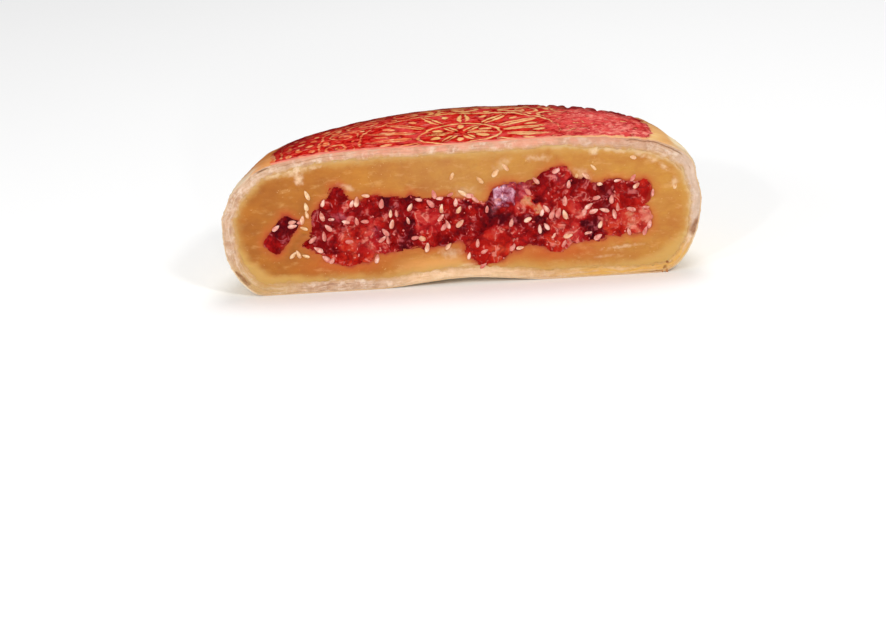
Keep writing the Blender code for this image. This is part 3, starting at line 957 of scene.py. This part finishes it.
# Places (x, z) of the cut about which the fruit mostly is of each kind
PATCHES = {
    "black": ((-23, 27.6), (-16.2, 20.4), (9.2, 24), (25, 18.4), (38.6, 16.8), (40.6, 15)),
    "plum": (
        (-57, 22), (-53, 25), (-51, 22), (-57, 18), (-38, 33), (-16.6, 17.4), (-18.4, 14), (-14.8, 28),
        (2, 25.4), (8, 19.4), (12, 19.4), (16, 19.6), (20, 20.4), (24, 15.6), (24.4, 24.6), (41.6, 17.4),
        (42.8, 13),
    ),
    "maroon": (
        (-53.5, 18.5), (-46, 23), (-45, 19), (-45, 15), (-42, 14), (-18, 25.6), (-17.6, 23),
        (-15.6, 13.4), (-13, 26), (-5.6, 12.8), (0.4, 16.6), (0.8, 22.4), (4, 19), (7, 21.6), (6, 23.4),
        (9.4, 27.2), (5, 15.8), (19.4, 17), (26, 29.8), (28, 32.2), (35.6, 29.2), (38.2, 30), (43.6, 27),
        (43.4, 22.4), (45.4, 23), (22, 17.4), (-21, 23.6),
    ),
    "wine": (
        (-58, 14.5), (-55.5, 14), (-48, 14.8), (-40, 28), (-37, 28), (-36.2, 31), (-38.5, 20),
        (-31, 22.6), (-22, 14), (-26.6, 27.4), (-24, 23.6), (-19.6, 19.4), (-20.2, 16.4), (-9.6, 26.4),
        (-7.4, 14.6), (-3, 15.4), (-1.2, 13.8), (-4, 25), (-3.2, 22), (3.4, 22.4), (12.4, 22.2),
        (21.4, 21.8), (2, 14.4), (21.4, 14.2), (23, 12.4), (23.4, 27.6), (27.6, 29), (31.6, 26), (36, 27),
        (39.4, 27.6), (46.2, 27.6), (43, 25.8), (53.6, 25), (24.8, 11.6),
    ),
    "crimson": (
        (-60.5, 16.5), (-41, 18), (-43, 26.5), (-38.6, 31.2), (-38, 25.6), (-35, 25), (-31.5, 25.5),
        (-28.6, 25.6), (-20.6, 27), (-6.4, 25.4), (15.6, 22.6), (19.2, 21), (19.2, 12.8), (26, 26),
        (27, 22.6), (42.2, 21.4), (39, 23.6), (34.8, 25.4),
    ),
    "mauve": ((-37.6, 22.6), (-26.2, 17.6), (17.8, 28.8), (17.6, 26.2), (20.2, 27.6), (30.2, 31)),
    "red": (
        (-35.5, 19), (-31.5, 18), (-38, 14), (-24.4, 20), (-12, 24.4), (-10.4, 15.8), (-1.4, 19.8),
        (-3.4, 17.8), (2.4, 11.6), (8, 14.4), (6, 10.4), (14, 14.8), (16.4, 13), (17.6, 15.6), (30.6, 28),
        (33.2, 33.4), (28.6, 24.4), (50, 27.2), (50, 24.8), (56.6, 26), (57, 23.2), (33, 22), (34, 18),
        (32, 16), (30.6, 14.2), (28, 17.4), (47, 20), (50, 20.4), (54.4, 22), (51, 22.6),
    ),
    "jelly": (
        (-35.6, 12.4), (-38, 9.8), (-34, 9), (-30.2, 9.4), (-27.4, 29), (4, 7.8), (10, 8), (12, 11),
        (59.2, 27.6), (27, 12), (28.4, 9.6), (46, 14.6), (49, 15), (-43.6, 10.4),
    ),
    "rose": (
        (-32.5, 13), (-29.8, 14), (-27.6, 12.4), (-24.8, 12), (-27.4, 20.4), (-28.6, 17), (0.4, 19.6),
        (18.2, 22.6), (10.6, 15.6), (32.2, 31), (35.4, 23.2), (36.2, 20.8), (37.6, 19), (35, 15.6),
        (36.6, 12.4), (33.6, 12.6), (40.2, 20.6), (45, 17), (48.4, 17.4),
    ),
    "coral": ((-13, 22), (-13, 18), (-9, 22), (-9, 18.4)),
    "salmon": ((3.4, 27.4), (53, 14.4), (56, 14)),
    "apricot": (
        (-34.8, 16.2), (1.2, 27.6), (5.4, 26.6), (7.2, 25.6), (50.8, 16.2), (52.4, 18.4), (55.2, 18),
        (57.2, 16.8), (58.4, 19.6),
    ),
    "tan": ((20.6, 25), (22.4, 23.6), (23.8, 22.2)),
    "lilac": ((11.6, 27.8), (13.6, 26.4), (12, 24.6), (15.6, 27)),
}


def fruit_field(x, z):
    """The tint, warmth and bloom that the fruit mostly has at places of the cut."""
    patches = [(*place, *KINDS[kind]) for kind, places in PATCHES.items() for place in places]
    spots = np.array(patches) * (1, UPRIGHT, 1, 1, 1)
    flat = flat_points(x, z)
    across = x + 0.8 * rough(flat, 2.2, 2, seed=45)
    up = z + 0.8 * rough(flat, 2.2, 2, seed=46)
    squared = (across[:, None] - spots[:, 0]) ** 2 + (up[:, None] - spots[:, 1]) ** 2
    weight = (squared + 0.3) ** -3
    weight /= weight.sum(axis=1, keepdims=True)
    return (weight @ spots[:, 2:]).T


def fruit_piece(name, points, faces, material, slot, core, looks):
    """A piece of the core's fruit. looks is its tint, warmth and bloom."""
    edge = np.clip(-distance_to_fruit(points[:, 0], points[:, 2], core), -1, 5)
    values = dict(zip(("tint", "warm", "bloom"), looks))
    return make_piece(name, points, faces, material, slot, **values, edge=edge)


def fruit_material(name, gloss):
    paint = Paint(name, specular=0.04, soaking=(0.3, 2.0, (1.0, 0.15, 0.12)))
    tint = paint.attribute("tint") + paint.noise(2.8, 3).span(0.3, 0.7, -0.16, 0.16)
    colour = tint.ramp(*COOL_FRUIT)
    colour.lay(paint.attribute("warm"), tint.ramp(*WARM_FRUIT))
    colour.lay(paint.attribute("bloom"), paint.noise(2.0, 4, roughness=0.6).ramp(*BLOOM))
    # Painted highlights in short pinkish strokes and glints, as wet edges show, with painted shade in dark
    # gaps beside them. The strokes also make a faint bump
    gap_shade = abs(paint.noise(5.0, 2, distortion=0.5) - 0.5).span(0.06, 0.0, 0, 0.45)
    colour.lay(gap_shade * tint.span(1.0, 0.6, 0.3, 1), (78, 3, 12))
    highlight_lines = abs(paint.noise(3.8, 2, roughness=0.5, distortion=0.8) - 0.52).span(0.07, 0.01)
    highlight_strokes = highlight_lines * paint.noise(2.8, 2).span(0.46, 0.58) * paint.noise(4.5, 3).span(0.41, 0.54)
    glints = paint.noise(2.0, 2).span(0.62, 0.76) * tint.span(0.1, 0.5, 0.5, 1)
    painted_highlights = highlight_strokes.math("MAXIMUM", glints) * tint.span(0.0, 0.7, 0.35, 0.68)
    colour.lay(painted_highlights, paint.mix(tint.span(0.1, 0.8), (196, 92, 100), (228, 138, 120)))
    # The paste clings to the fruit at the core's edge
    rim = paint.attribute("edge") - paint.noise(5, 4).span(0.42, 0.66, -0.2, 1.1)
    colour.lay(rim.span(0.0, -0.9, 0, 0.6), (150, 46, 28))
    roughness = paint.noise(1.4, 3).span(0.35, 0.65, gloss * 0.8, gloss * 1.8)
    return paint.finish(colour, roughness, highlight_strokes.bump(0.1, paint.noise(1.6, 3).bump(0.35)))


def make_jam(core):
    """Sticky jam and pulp, set back a little between the pieces of fruit."""
    low, high = core.min(axis=0) - 2, core.max(axis=0) + 2
    xs = np.arange(low[0], high[0], JAM_STEP)
    zs = np.arange(low[1], high[1], JAM_STEP)
    x, z = (a.ravel() for a in np.meshgrid(xs, zs))
    away = distance_inside(x, z, core)
    flat = flat_points(x, z)
    y = 0.4 + 0.5 * rough(flat, 3.4, 3, seed=41) + 0.2 * rough(flat, 1.2, 2, seed=42)
    y = np.maximum(y, 0.1) * smooth_step(0.4, -1.2, away) + 0.12 * smooth_step(-1.2, 0.4, away)
    y += 1.6 * smooth_step(0.1, 1.3, away)
    tint, warm, bloom = fruit_field(x, z)
    # The deeper the jam lies, the darker its tint: painted shade in the hollows between the fruit
    tint = tint + 0.08 * rough(flat, 1.5, 2, seed=43) - 0.12 * (y - 0.3)
    points = np.stack([x, CUT + y, z], axis=-1)
    faces = [face for face in grid_faces(len(zs), len(xs)) if away[list(face)].max() < JAM_REACH]
    used = sorted({index for face in faces for index in face})
    renumber = {index: place for place, index in enumerate(used)}
    faces = [tuple(renumber[index] for index in face) for face in faces]
    values = {"tint": tint, "warm": warm, "bloom": bloom, "edge": np.clip(-away, -1, 5)}
    values = {key: value[used] for key, value in values.items()}
    jam = fruit_material("fruit_jam", 0.16)
    piece = make_slab("fruit_jam", points[used], faces, CUT + JAM_DEPTH, jam, "fruit_mix", **values)
    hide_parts("fruit_mix")


# ---- diced fruit

# How each diced piece looks: its kind, how much of its colour is its own and not that of what lies about
# it, how far its face stands behind the cut, and how lumpy it is
CHUNK_LOOKS = {
    "chunk_far_left": ("plum", 0.1, 0.1, 0.6),
    "chunk_small_top": ("maroon", 0.2, 0.4, 0.5),
    "chunk_left_dark": ("maroon", 0.3, 0.2, 0.5),
    "chunk_left_bright": ("jelly", 0.3, 0.1, 0.6),
    "chunk_left_deep": ("crimson", 0.3, 0.1, 0.5),
    "chunk_plum": ("plum", 0.4, 0.5, 0.4),
    "chunk_rose_cube": ("coral", 0.8, -0.2, 0.3),
    "chunk_middle_low": ("wine", 0.3, 0.4, 0.4),
    "chunk_middle_dark": ("wine", 0.3, 0.3, 0.4),
    "chunk_big_red": ("jelly", 0.2, 0.0, 0.8),
    "chunk_lilac": ("lilac", 0.7, -0.2, 0.6),
    "chunk_tan_sliver": ("tan", 0.25, 0.0, 0.4),
    "chunk_lower_dark": ("maroon", 0.4, 0.3, 0.4),
    "chunk_round_red": ("crimson", 0.2, -0.1, 0.7),
    "chunk_right_deep": ("wine", 0.3, 0.2, 0.4),
    "chunk_right_bright": ("rose", 0.3, 0.1, 0.7),
    "chunk_black_fruit": ("black", 0.5, 0.2, 0.7),
    "chunk_right_end": ("wine", 0.4, 0.0, 0.35),
    "chunk_right_orange": ("jelly", 0.4, 0.1, 0.5),
    "chunk_right_salmon": ("salmon", 0.3, 0.1, 0.7),
}
VOXEL = 0.38


def remeshed(node):
    """Points and faces of a CAD node as an even fine mesh with softened edges."""
    source = add_object("scratch", frame["nodes"][node].data.copy())
    remesh = source.modifiers.new("even", "REMESH")
    remesh.mode = "VOXEL"
    remesh.voxel_size = VOXEL * MM
    smooth = source.modifiers.new("soft", "SMOOTH")
    smooth.factor = 0.6
    smooth.iterations = 2
    mesh = bpy.data.meshes.new_from_object(source.evaluated_get(bpy.context.evaluated_depsgraph_get()))
    points = np.array([tuple(v.co) for v in mesh.vertices]) / MM
    faces = [tuple(polygon.vertices) for polygon in mesh.polygons]
    bpy.data.objects.remove(source)
    bpy.data.meshes.remove(mesh)
    return points, faces


def make_chunk(node, number, core, material):
    """A diced piece, lumpy, and nearly flat where the knife sliced it."""
    kind, own_share, behind, lumpy = CHUNK_LOOKS[node]
    points, faces = remeshed(node)
    normals = normals_of(points, faces)
    relief = lumpy * (0.7 * rough(points, 4.2, 3, seed=50 + number) + 0.2 * rough(points, 1.0, 2, seed=51))
    points = points + normals * relief[:, None]
    face_y = CUT + behind + 0.2 * rough(points * (1, 0, 1), 4, 3, seed=52 + number)
    front = points[:, 1] < face_y + 0.6
    points[front, 1] = np.maximum(points[front, 1], face_y[front]) * 0.65 + face_y[front] * 0.35
    own = np.array(KINDS[kind])[:, None]
    tint, warm, bloom = blend((fruit_field(points[:, 0], points[:, 2]), own), own_share)
    tint = tint + 0.08 * rough(points, 4, 2, seed=53 + number)
    slot = next(s["material_slot"] for s in frame["record"]["subparts"] if s["node"] == node)
    name = node.replace("chunk", "fruit")
    piece = fruit_piece(name, points, faces, material, slot, core, (tint, warm, bloom))
    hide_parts(node)


# ---- minced fruit

BIT_SIZES = (2.5, 2.1, 1.7, 1.4, 1.1, 0.85)  # radii, the largest placed first
BITS_TRIED = 900
OUTLINE = 26
DIRECTIONS = 72  # in which the space about a bit is measured
# Rings of one bit from its back to its face: share of the outline, and depth behind the face
BIT_RINGS = (
    (0.8, 3.4), (1.0, 1.4), (1.0, 0.5), (0.96, 0.2), (0.86, 0.05),
    (0.7, 0.0), (0.5, 0.0), (0.3, 0.0), (0.12, 0.0),
)
BIT_INSET = 0.9  # how far the middle of a bit may lie inside a diced piece's box


def place_bits(core, whims):
    """Sites (x, z, radius) that fill the core, apart from where the diced pieces lie."""
    boxes = [[(corner.x / MM, corner.z / MM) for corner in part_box(node)] for node in CHUNK_LOOKS]
    low, high = core.min(axis=0), core.max(axis=0)
    sites = []
    for radius in BIT_SIZES:
        tries = np.array([[whims.uniform(a, b) for a, b in zip(low, high)] for _ in range(BITS_TRIED)])
        depth = -distance_inside(tries[:, 0], tries[:, 1], core)
        for (x, z), inside in zip(tries, depth):
            covered = any(
                ax + BIT_INSET < x < bx - BIT_INSET and az + BIT_INSET < z < bz - BIT_INSET
                for (ax, az), (bx, bz) in boxes
            )
            if inside < radius * 0.75 or covered:
                continue
            if all(math.hypot(x - sx, z - sz) > (radius + size) * 0.86 for sx, sz, size in sites):
                sites.append((x, z, radius))
    return sites


def cell_outline(site, sites):
    """The part of the cut face nearest to a site, as a smooth closed line about it."""
    x, z, radius = site
    turns = np.linspace(0, 2 * math.pi, DIRECTIONS, endpoint=False)
    reach = np.full(len(turns), radius * 1.45)
    for other_x, other_z, other_radius in sites:
        dx, dz = other_x - x, other_z - z
        distance = math.hypot(dx, dz)
        if not 0 < distance < radius + other_radius + 3:
            continue
        border = (distance**2 + radius**2 - other_radius**2) / (2 * distance)
        facing = np.cos(turns - math.atan2(dz, dx))
        reach = np.where(facing > 0.05, np.minimum(reach, border / np.maximum(facing, 0.05)), reach)
    line = np.stack([np.cos(turns) * reach, np.sin(turns) * reach], axis=-1)
    return resample(soften(line, 1), OUTLINE)


def bit_faces():
    """Faces of one bit: its sides from ring to ring, its face's middle and its back."""
    faces = grid_faces(len(BIT_RINGS), OUTLINE, closed=True)
    middle = len(BIT_RINGS) * OUTLINE
    last = middle - OUTLINE
    faces += [(last + k, last + (k + 1) % OUTLINE, middle) for k in range(OUTLINE)]
    faces.append(tuple(reversed(range(OUTLINE))))
    return faces


def make_minced(core, material):
    """Minced fruit pressed into the jam and sliced by the knife."""
    whims = random.Random(5)
    sites = place_bits(core, whims)
    bits, tints, warms, blooms = [], [], [], []
    for number, site in enumerate(sites):
        outline = cell_outline(site, sites)
        outline = outline * (1 - whims.uniform(0.02, 0.1) / max(site[2], 1))
        spots = flat_points(*outline.T) + number * 5
        outline += 0.16 * np.stack([rough(spots, 1.5, 2, seed=seed) for seed in (61, 62)], axis=-1)
        flush = whims.random() < 0.55
        face = whims.uniform(0.0, 0.25) if flush else whims.uniform(0.3, 0.9)
        steep = 0.12 if flush else 0.5
        slopes = [(whims.uniform(-steep, steep), whims.uniform(-steep, steep)) for _ in range(3)]
        rings = []
        for share, depth in BIT_RINGS:
            ring = outline * share
            x, z = ring[:, 0] + site[0], ring[:, 1] + site[1]
            facets = np.max([ring @ slope for slope in slopes], axis=0)
            y = CUT + face + depth + facets * (depth < 1)
            rings.append(np.stack([x, y, z], axis=-1))
        bit = np.concatenate([*rings, [[site[0], CUT + face, site[1]]]])
        bit[:, 1] += 0.22 * rough(bit * (1, 0, 1), 1.4, 3, seed=63)
        bits.append(bit)
        tint, warm, bloom = fruit_field(bit[:, 0], bit[:, 2])
        tints.append(tint + whims.gauss(0, 0.07))
        warms.append(warm + whims.gauss(0, 0.15))
        blooms.append(bloom)
    tint, warm, bloom = (np.concatenate(values) for values in (tints, warms, blooms))
    looks = (tint, np.clip(warm, 0, 1), bloom)
    fruit_piece("minced_fruit", *join_copies(bits, bit_faces()), material, "red_fruit", core, looks)


def cube_sphere(steps):
    """Unit directions and faces of a cube's grid blown up to a sphere."""
    index, faces = {}, []
    for axis, side, i, j in itertools.product(range(3), (-1, 1), range(steps), range(steps)):
        face = []
        for di, dj in ((0, 0), (1, 0), (1, 1), (0, 1)):
            corner = np.roll((side, 2 * (i + di) / steps - 1, 2 * (j + dj) / steps - 1), axis)
            face.append(index.setdefault(tuple(np.round(corner, 6)), len(index)))
        faces.append(tuple(face[::side]))
    points = np.array(list(index))
    return points / np.linalg.norm(points, axis=1, keepdims=True), faces


# ---- pulp

PULP_GRAINS = 260
PULP_SIZES = ((0.2, 0.6), (0.15, 0.25), (0.15, 0.36))  # least and most half size along each axis


def pulp_material():
    paint = Paint("fruit_pulp", roughness=0.15, specular=0.2, soaking=(0.4, 1.5, (1.0, 0.3, 0.25)))
    colour = paint.noise(1.6, 2).ramp((0.3, 166, 34, 36), (0.5, 198, 78, 74), (0.7, 226, 144, 132))
    return paint.finish(colour)


def make_pulp(core):
    """Soft grains of pulp that the knife left on the fruit."""
    whims = random.Random(23)
    unit, unit_faces = cube_sphere(3)
    grains = []
    while len(grains) < PULP_GRAINS:
        x = whims.uniform(core[:, 0].min(), core[:, 0].max())
        z = whims.uniform(core[:, 1].min(), core[:, 1].max())
        tint, _, _ = fruit_field(np.array([x]), np.array([z]))
        if whims.random() > tint[0] * 1.3 - 0.1:
            continue
        if distance_inside(np.array([x]), np.array([z]), core)[0] > -0.3:
            continue
        size = [whims.uniform(*limits) for limits in PULP_SIZES]
        turn = np.array(Matrix.Rotation(whims.uniform(0, math.pi), 3, "Y"))
        grains.append((unit * size) @ turn.T + (x, CUT + whims.uniform(-0.05, 0.6), z))
    make_piece("fruit_pulp", *join_copies(grains, unit_faces), pulp_material(), "rose_fruit")


# ---- sesame

SEED_SIZE = (3.0, 1.5, 0.9)
SEED_STAINED = 0.8  # how far from the fruit a seed may lie and still be stained by it
# Seeds that show at the cut: middle (x, z), and heading of the tip in degrees anticlockwise
SEEDS = (
    (-57.9, 20.8, 30), (-52.6, 22.4, 2), (-50.9, 22.2, 172), (-49.5, 22.8, 80), (-47.9, 24.4, 110),
    (-47.9, 26.8, 100), (-47.3, 30.4, 108), (-49.2, 20.2, 155), (-52.8, 21, 20), (-43.2, 23.6, 110),
    (-42.6, 27.7, 60), (-40.6, 22.5, 178), (-35.9, 21.5, 170), (-32.5, 21.5, 90), (-30, 21.3, 168),
    (-29.1, 29.2, 170), (-33.6, 27, 70), (-32.1, 27.5, 80), (-24.4, 26.4, 85), (-21.8, 23.2, 80),
    (-19.9, 23.2, 100), (-21.6, 20, 80), (-15.6, 24.7, 60), (-16.5, 20.8, 105), (-12.6, 26.8, 160),
    (-23.8, 17.6, 140), (-24.8, 15.5, 45), (-23.2, 15.1, 100), (-46.6, 16.6, 30), (-43, 17.4, 95),
    (-41.5, 20, 130), (-45.1, 13.4, 145), (-53.2, 12.1, 50), (-51.5, 12.3, 110), (-49.2, 11.6, 160),
    (-42.8, 10.4, 140), (-41, 9.8, 45), (-35.1, 15.3, 5), (-27, 9.5, 80), (-14.6, 15.3, 5),
    (-12.9, 15, 175), (-11.1, 12.1, 80), (-4.5, 12.1, 40), (-5.4, 18.1, 45), (-4.2, 18.9, 110),
    (-6.4, 21, 45), (-5.8, 23.8, 85), (-9.2, 25.6, 135), (-6, 27, 178), (-7.9, 28.3, 100), (-2.6, 28, 10),
    (-1.3, 25.5, 80), (-0.5, 23, 58), (-0.4, 18.9, 45), (-1.8, 33.7, 60), (1, 28.2, 150),
    (2.9, 27.3, 165), (4.9, 26, 150), (6.6, 31.8, 130), (11.7, 33.8, 50), (14.7, 35.3, 128),
    (8.3, 22.6, 92), (20.9, 18.8, 30), (24.3, 15.7, 97), (26.5, 16.4, 130), (25.3, 20.8, 70),
    (26.7, 21.8, 130), (28.4, 19.9, 60), (30.4, 20.4, 70), (32.4, 19.7, 110), (32.6, 23.9, 80),
    (36.8, 31.8, 75), (39.6, 31.2, 140), (42, 33.6, 130), (44, 28.5, 2), (49.3, 29.2, 5), (54, 29.7, 45),
    (55, 27.3, 35), (42.7, 24.3, 5), (47.1, 23.5, 85), (48.9, 21, 85), (47.8, 18.9, 100),
    (44.7, 20.4, 165), (39.9, 21.8, 30), (41.4, 20.1, 20), (38.4, 20.1, 60), (43.2, 16, 75),
    (39.4, 13.5, 10), (42.2, 12.1, 30), (52, 13.3, 110), (57, 13.2, 60), (58.5, 15.2, 70),
    (59.9, 24.8, 80), (54.2, 36.2, 150), (28.8, 13.4, 60), (31.7, 10.7, 60), (33, 13.1, 10),
    (24, 30.6, 130), (21.3, 27.4, 120), (30.6, 33.3, 20), (34.1, 29, 80), (15.6, 10.7, 60),
    (17.8, 10.2, 10), (4.6, 12.5, 90), (6.6, 9.8, 30), (1.7, 8.7, 70), (5.9, 5.4, 30), (15.6, 18.2, 70),
    (57.6, 20.4, 15), (53, 20.2, 165), (67, 26.7, 70),
)


def seed_material():
    paint = Paint("sesame", roughness=0.3, specular=0.25, soaking=(0.2, 1.0, (1.0, 0.6, 0.4)))
    # The seeds' mottling is partly their own tone and partly painted highlight and shade
    tone_and_light = paint.noise(1.6, 3)
    stain = paint.attribute("stain")
    colour = tone_and_light.ramp((0.34, 204, 146, 92), (0.5, 224, 178, 130), (0.64, 238, 206, 166))
    rosy = tone_and_light.ramp((0.34, 196, 110, 98), (0.5, 222, 154, 138), (0.64, 240, 194, 178))
    colour.lay(stain.span(0, 1), rosy)
    colour.lay(stain.span(1, 2, 0, 0.75), (196, 84, 76))
    return paint.finish(colour, normal=paint.noise(0.6, 2).bump(0.05))


def seed_shape(unit):
    """A flat teardrop, pointed at +X."""
    along = unit[:, 0]
    taper = 1 - 0.28 * (along + 0.1) - 0.13 * along**2
    return np.stack([along, unit[:, 1] * taper, unit[:, 2] * taper], axis=-1) * np.array(SEED_SIZE) / 2


def make_seeds(core):
    whims = random.Random(11)
    unit, unit_faces = cube_sphere(6)
    shape = seed_shape(unit)
    seeds, stains = [], []
    places = np.array(SEEDS, float) * (1, UPRIGHT, 1)
    distances = distance_to_fruit(places[:, 0], places[:, 1], core)
    for (x, z, degrees), distance in zip(places, distances):
        inside = distance < SEED_STAINED
        scale = whims.uniform(0.8, 1.14)
        roll = Matrix.Rotation(whims.uniform(-0.7, 0.7), 3, "X")
        heading = Matrix.Rotation(-math.radians(degrees + whims.uniform(-8, 8)), 3, "Y")
        tip = Matrix.Rotation(whims.uniform(-0.4, 0.4), 3, "Z")
        turn = np.array(tip @ heading @ roll @ Matrix.Rotation(math.pi / 2, 3, "X"))
        sunk = whims.uniform(-0.2, 0.35) if inside else whims.uniform(0.0, 0.25)
        stains.append(whims.uniform(0.4, 1.8) if inside else whims.uniform(0.0, 0.3))
        seeds.append((shape * scale) @ turn.T + (x, CUT + sunk, z))
    points, faces = join_copies(seeds, unit_faces)
    stain = np.repeat(stains, len(shape))
    make_piece("sesame_seeds", points, faces, seed_material(), "sesame", stain=stain)


# ---- crumbs

# Clusters of toasted crumbs: middle (x, y behind the cut, z), spread and how many
CRUMB_CLUSTERS = (((60.8, 0.6, 0.5), (2.4, 0.4, 0.3), 12), ((64.0, 0.4, 2.8), (0.8, 0.2, 0.5), 3))


def crumb_material():
    paint = Paint("toasted_crumbs", roughness=0.8, specular=0.2)
    colour = paint.noise(1.5, 3).ramp((0.3, 128, 80, 46), (0.5, 172, 114, 66), (0.7, 208, 156, 100))
    return paint.finish(colour)


def make_crumbs():
    whims = random.Random(31)
    unit, unit_faces = cube_sphere(5)
    crumbs = []
    for middle, spread, count in CRUMB_CLUSTERS:
        for _ in range(count):
            size = [whims.uniform(0.25, 0.6) for _ in range(3)]
            lumps = 1 + 0.4 * rough(unit + len(crumbs) * len(unit), 1.0, 2, seed=71)
            offset = [m + whims.uniform(-s, s) for m, s in zip(middle, spread)]
            crumb = unit * size * lumps[:, None] + offset + (0, CUT, 0)
            crumb[:, 2] = np.maximum(crumb[:, 2], 0.0)
            crumbs.append(crumb)
    make_piece("toasted_crumbs", *join_copies(crumbs, unit_faces), crumb_material(), "crumbs")


# ---- stage

FLOOR_HALF = 6.0  # metres, like all that stands on the stage
# Round lights: name, place in metres, diameter and power in watts
LIGHTS = (
    ("key", (0.5, -0.85, 0.75), 0.16, 3.6),
    ("fill", (-0.75, -0.8, 0.5), 0.3, 2.2),
    ("flash", (0.12, -1.1, 0.2), 0.05, 1.8),
    ("second_flash", (-0.35, -1.0, 0.5), 0.05, 1.6),
    ("top", (0.1, 0.25, 1.0), 0.5, 3.6),
)


def make_camera():
    """The photograph's view. The anchor is put at its pixel by turning the camera, with no shift."""
    data = bpy.data.cameras.new("camera")
    data.sensor_width = SENSOR
    data.lens = CAKE_PIXELS / PHOTO_WIDTH * SENSOR * CAMERA_DISTANCE / (2 * RADIUS * MM)
    data.clip_start = 0.01
    data.clip_end = 50
    azimuth, elevation = math.radians(CAMERA_AZIMUTH), math.radians(CAMERA_ELEVATION)
    level = math.cos(elevation)
    back = Vector((math.sin(azimuth) * level, -math.cos(azimuth) * level, math.sin(elevation)))
    camera = add_object("camera", data)
    camera.location = ANCHOR + back * CAMERA_DISTANCE
    focal_pixels = data.lens / SENSOR * PHOTO_WIDTH
    pan = math.atan((ANCHOR_PIXEL[0] - PHOTO_WIDTH / 2) / focal_pixels)
    dip = math.atan((PHOTO_HEIGHT / 2 - ANCHOR_PIXEL[1]) / focal_pixels)
    look = (-back).to_track_quat("-Z", "Y").to_matrix()
    turn = look @ Matrix.Rotation(-math.radians(CAMERA_ROLL), 3, "Z")
    turn = turn @ Matrix.Rotation(pan, 3, "Y") @ Matrix.Rotation(-dip, 3, "X")
    camera.rotation_euler = turn.to_euler()
    bpy.context.scene.camera = camera


def make_light(name, place, size, power):
    data = bpy.data.lights.new(name, "AREA")
    data.shape = "DISK"
    data.size = size
    data.energy = power
    light = add_object(name, data)
    light.location = place
    aim = Vector((0, CUT * MM, 0.02)) - light.location
    light.rotation_euler = aim.to_track_quat("-Z", "Y").to_euler()


def make_stage():
    paint = Paint("floor", roughness=0.8)
    mesh = bpy.data.meshes.new("floor")
    corners = [(x * FLOOR_HALF, y * FLOOR_HALF, 0) for x, y in ((-1, -1), (1, -1), (1, 1), (-1, 1))]
    mesh.from_pydata(corners, [], [(0, 1, 2, 3)])
    white = paint.noise(400, 2).ramp((0.3, 252, 252, 252), (0.7, 254, 254, 254))
    mesh.materials.append(paint.finish(white))
    floor = add_object("floor", mesh)
    world = bpy.data.worlds.new("world")
    world.use_nodes = True
    background = world.node_tree.nodes["Background"]
    background.inputs["Color"].default_value = (1, 1, 1, 1)
    background.inputs["Strength"].default_value = 0.5
    bpy.context.scene.world = world
    for light in LIGHTS:
        make_light(*light)
    bpy.context.scene.view_settings.view_transform = "Standard"


# ---- putting it together


def main():
    make_camera()
    make_stage()
    points, faces, edge, brow = skin_form()
    outline = resample(points[edge][:, [0, 2]], BAND_COLUMNS)
    make_skin(points, faces, edge, brow)
    make_layers(outline)
    core = core_line()
    make_paste(outline, core)
    make_jam(core)
    fruit = fruit_material("diced_fruit", 0.18)
    for number, node in enumerate(CHUNK_LOOKS):
        make_chunk(node, number, core, fruit)
    make_minced(core, fruit)
    make_pulp(core)
    make_seeds(core)
    make_crumbs()


main()
